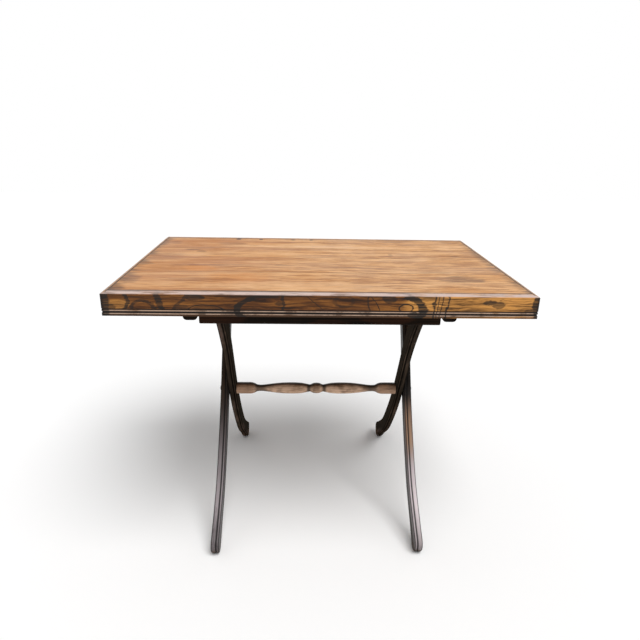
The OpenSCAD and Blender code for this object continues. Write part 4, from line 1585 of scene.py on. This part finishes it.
@dataclass
class Rails:
    """The two top rails, halved over the legs."""

    round: float = 3 * MM
    slack: float = 0.1 * MM

    def rail(self, node: str, leg: str, seed: float, rubs_and_light: tuple[Smudge, ...]) -> None:
        """Make one rail with its two notches.

        Args:
            node: The node it stands for.
            leg: The right-hand leg that it is halved over.
            seed: Moves the grain.
            rubs_and_light: Its brown places, on the front rail partly painted light.
        """
        low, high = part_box(node)
        piece = add_box("Rails." + node, low, high)
        soften(piece, self.round, 60, 4)
        middle = (low.y + high.y) / 2
        inward = -math.copysign(1.0, middle)
        leg_low, leg_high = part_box(leg)
        for side in (-1, 1):
            edges = sorted((side * leg_low.x, side * leg_high.x))
            sides = sorted((middle, middle + inward * (high.y - low.y)))
            notch = add_box("notch", Vector((edges[0] - self.slack, sides[0], low.z - MM)),
                            Vector((edges[1] + self.slack, sides[1], high.z + MM)))
            cut_away(piece, notch)
        shade(piece, 35)
        wood = DarkWood(seed, rubs_and_light)
        body = Body.INNER if node == "front_rail" else Body.OUTER
        hand_over(piece, body, Slot.DARK, wood.material("Wood." + node), node)

    def build(self) -> None:
        """Make both rails."""
        low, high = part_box("front_rail")
        middle = (low.z + high.z) / 2
        # The front rail's brown places are partly painted light, where its face catches the light.
        rubs_and_light = (Smudge(-0.225, middle, 0.06, 0.03, 0.3), Smudge(0.155, middle, 0.07, 0.024, 0.35),
                Smudge(0.02, low.z, 0.05, 0.012, 0.3))
        self.rail("front_rail", "right_inner_leg", 3.0, rubs_and_light)
        self.rail("rear_rail", "right_outer_leg", 7.0, (Smudge(0.1, middle, 0.08, 0.02, 0.4),))


# Stretcher and ironwork


@dataclass
class Stretcher:
    """The turned stretcher between the inner legs."""

    block_r: float = 16 * MM
    neck_r: float = 8.75 * MM
    swell_r: float = 15.5 * MM
    ball_r: float = 14.75 * MM
    steps: int = 5
    score: float = 0.5 * MM

    def half_outline(self, half: float) -> list[tuple[float, float]]:
        """Return places and radii from the middle of the ball to the end of the block."""
        neck, swell, ball, block = self.neck_r, self.swell_r, self.ball_r, self.block_r
        knots = [(0.0, ball), (0.035, ball * 0.95), (0.065, ball * 0.76), (0.083, neck * 1.14),
                 (0.105, swell * 0.70), (0.14, swell * 0.80), (0.19, swell * 0.926),
                 (0.27, swell), (0.36, swell * 0.996), (0.43, swell * 0.96),
                 (0.51, (2 * swell + neck) / 3), (0.59, (swell + 2 * neck) / 3),
                 (0.66, neck * 1.04), (0.71, neck), (0.745, neck * 1.12), (0.765, block * 0.76),
                 (0.785, block * 0.88), (0.81, block * 0.97), (0.83, block)]
        places = curve([k[0] for k in knots], self.steps)
        radii = curve([k[1] for k in knots], self.steps)
        outline = [(p * half, min(r, block)) for p, r in zip(places, radii)]
        for share in (0.86, 0.965):
            groove = share * half
            outline += [(groove - self.score, block), (groove, block - self.score),
                        (groove + self.score, block)]
        outline.append((half - 0.4 * MM, block))
        outline.append((half, block - 0.4 * MM))
        return outline

    def build(self) -> None:
        """Turn the stretcher."""
        low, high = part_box("stretcher")
        half = high.x
        right = self.half_outline(half)
        left = [(-x, r) for x, r in reversed(right) if x > 0]
        piece = turn_on_lathe("Stretcher", left + right, (low.z + high.z) / 2)
        shade(piece, 28)
        wood = TurnedWood(neck=0.64 * half, shoulder=0.775 * half, ball=0.078 * half)
        hand_over(piece, Body.INNER, Slot.TURNED, wood.material("Wood.stretcher"), "stretcher")


@dataclass
class Ironwork:
    """The pivot bolts, and the finishes of the pins, washers, dowels and brads."""

    head_h: float = 4 * MM
    shank_r: float = 4 * MM
    rim: float = 0.4 * MM

    def bolt(self, node: str, sign: int) -> None:
        """Turn one pivot bolt with its domed head."""
        low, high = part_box(node)
        start, end = sorted((abs(low.x), abs(high.x)))
        head_r = (high.z - low.z) / 2
        face = end - self.head_h
        radius = (head_r ** 2 + self.head_h ** 2) / (2 * self.head_h)
        outline = [(start, self.shank_r * 0.8), (start + MM, self.shank_r),
                   (face, self.shank_r), (face + 0.01 * MM, head_r - self.rim),
                   (face + self.rim, head_r - 0.1 * MM)]
        for index in range(1, 9):
            height = self.rim + (self.head_h - self.rim) * index / 8.2
            outline.append((face + height, math.sqrt(radius ** 2
                                                     - (radius - self.head_h + height) ** 2)))
        piece = turn_on_lathe("Ironwork." + node, outline, (low.z + high.z) / 2, 48)
        if sign < 0:
            other = copied(piece, piece.name, Matrix.Scale(-1, 4, (1, 0, 0)))
            bpy.data.objects.remove(piece)
            other.name = "Ironwork." + node
            piece = other
        shade(piece, 30)
        hand_over(piece, Body.INNER, Slot.IRON, Metal().material("Iron." + node), node)

    def build(self) -> None:
        """Make the bolts and finish the small pieces."""
        self.bolt("left_pivot_bolt", -1)
        self.bolt("right_pivot_bolt", 1)
        dress(Metal().material("Iron.small"), "left_hinge_pin", "right_hinge_pin", "left_washer",
              "right_washer")
        dress(Metal(roughness=0.6).material("Steel.brads"), "edging_brads")
        dress(DowelWood().material("Wood.dowels"), "front_rail_dowels", "rear_rail_dowels")


# Studio


@dataclass
class Studio:
    """The pale floor, the soft lights and the camera."""

    camera_place: tuple[float, float, float] = (-0.0483, -1.3794, 1.0128)
    pitch: float = 0.3412
    roll: float = 0.0208
    yaw: float = 0.0395
    focal_pixels: float = 545.2
    picture: int = 640
    sensor: float = 36.0

    def camera(self) -> None:
        """Set the camera where the photograph was taken from."""
        lens = bpy.data.cameras.new("camera")
        lens.sensor_width = self.sensor
        lens.lens = self.focal_pixels / self.picture * self.sensor
        lens.clip_start = 0.05
        view = bpy.data.objects.new("camera", lens)
        bpy.context.scene.collection.objects.link(view)
        forward = Vector((math.sin(self.yaw) * math.cos(self.pitch),
                          math.cos(self.yaw) * math.cos(self.pitch), -math.sin(self.pitch)))
        level = Vector((math.cos(self.yaw), -math.sin(self.yaw), 0))
        upright = level.cross(forward)
        right = math.cos(self.roll) * level + math.sin(self.roll) * upright
        up = math.cos(self.roll) * upright - math.sin(self.roll) * level
        turn = Matrix((right, up, -forward)).transposed().to_4x4()
        view.matrix_world = Matrix.Translation(self.camera_place) @ turn
        bpy.context.scene.camera = view

    def sun(self, name: str, source: Sequence[float], spread: float, power: float) -> None:
        """Add a soft distant light.

        Args:
            name: Its name.
            source: Where it comes from, seen from the table.
            spread: How wide it looks, in degrees, which softens its shadows.
            power: Its strength.
        """
        data = bpy.data.lights.new(name, "SUN")
        data.angle = math.radians(spread)
        data.energy = power
        lamp = bpy.data.objects.new(name, data)
        bpy.context.scene.collection.objects.link(lamp)
        lamp.rotation_euler = (-Vector(source)).to_track_quat("-Z", "Y").to_euler()

    def white_to_camera(self, tree: bpy.types.NodeTree, entry: Socket, plain: float) -> None:
        """Let the camera and reflections see white, and light the scene with less.

        Args:
            tree: The world's nodes.
            entry: The strength to set.
            plain: The strength for all other light.
        """
        path = tree.nodes.new("ShaderNodeLightPath")
        seen = tree.nodes.new("ShaderNodeMath")
        seen.operation = "MAXIMUM"
        tree.links.new(path.outputs["Is Camera Ray"], seen.inputs[0])
        tree.links.new(path.outputs["Is Glossy Ray"], seen.inputs[1])
        more = tree.nodes.new("ShaderNodeMath")
        more.operation = "MAXIMUM"
        tree.links.new(seen.outputs[0], more.inputs[0])
        tree.links.new(path.outputs["Is Transmission Ray"], more.inputs[1])
        level = tree.nodes.new("ShaderNodeMapRange")
        tree.links.new(more.outputs[0], level.inputs[0])
        level.inputs[3].default_value = plain
        level.inputs[4].default_value = 1.0
        tree.links.new(level.outputs[0], entry)

    def world(self) -> None:
        """Set a white surround."""
        world = bpy.data.worlds.new("surround")
        bpy.context.scene.world = world
        world.use_nodes = True
        background = world.node_tree.nodes["Background"]
        background.inputs["Color"].default_value = (1.0, 1.0, 1.0, 1.0)
        self.white_to_camera(world.node_tree, background.inputs["Strength"], 0.46)

    def floor(self) -> None:
        """Lay the pale floor."""
        deselect_all()
        bpy.ops.mesh.primitive_plane_add(size=14, location=(0, 0, 0))
        floor = bpy.context.object
        floor.name = "floor"
        material = bpy.data.materials.new("floor")
        material.use_nodes = True
        shader = material.node_tree.nodes["Principled BSDF"]
        shader.inputs["Base Color"].default_value = linear((254, 254, 254))
        shader.inputs["Roughness"].default_value = 0.9
        shader.inputs["Specular IOR Level"].default_value = 0.1
        floor.data.materials.append(material)

    def build(self) -> None:
        """Set up the studio."""
        self.camera()
        self.world()
        self.floor()
        self.sun("key", (0.30, -0.42, 1.0), 40, 2.09)
        bpy.context.scene.view_settings.view_transform = "Standard"


def write_sizes() -> None:
    """Define a helper that turns a box's corners into plain lists."""
    def plain(bounds: Sequence) -> list:
        return [[float(c) for c in corner] for corner in bounds]


def main() -> None:
    """Build the studio and the table."""
    logging.basicConfig(level=logging.INFO, format="%(name)s: %(message)s")
    Studio().build()
    TableTop().build()
    Underside().build()
    Rails().build()
    SabreLegs().build()
    Stretcher().build()
    Ironwork().build()
    write_sizes()


if __name__ == "__main__":
    main()
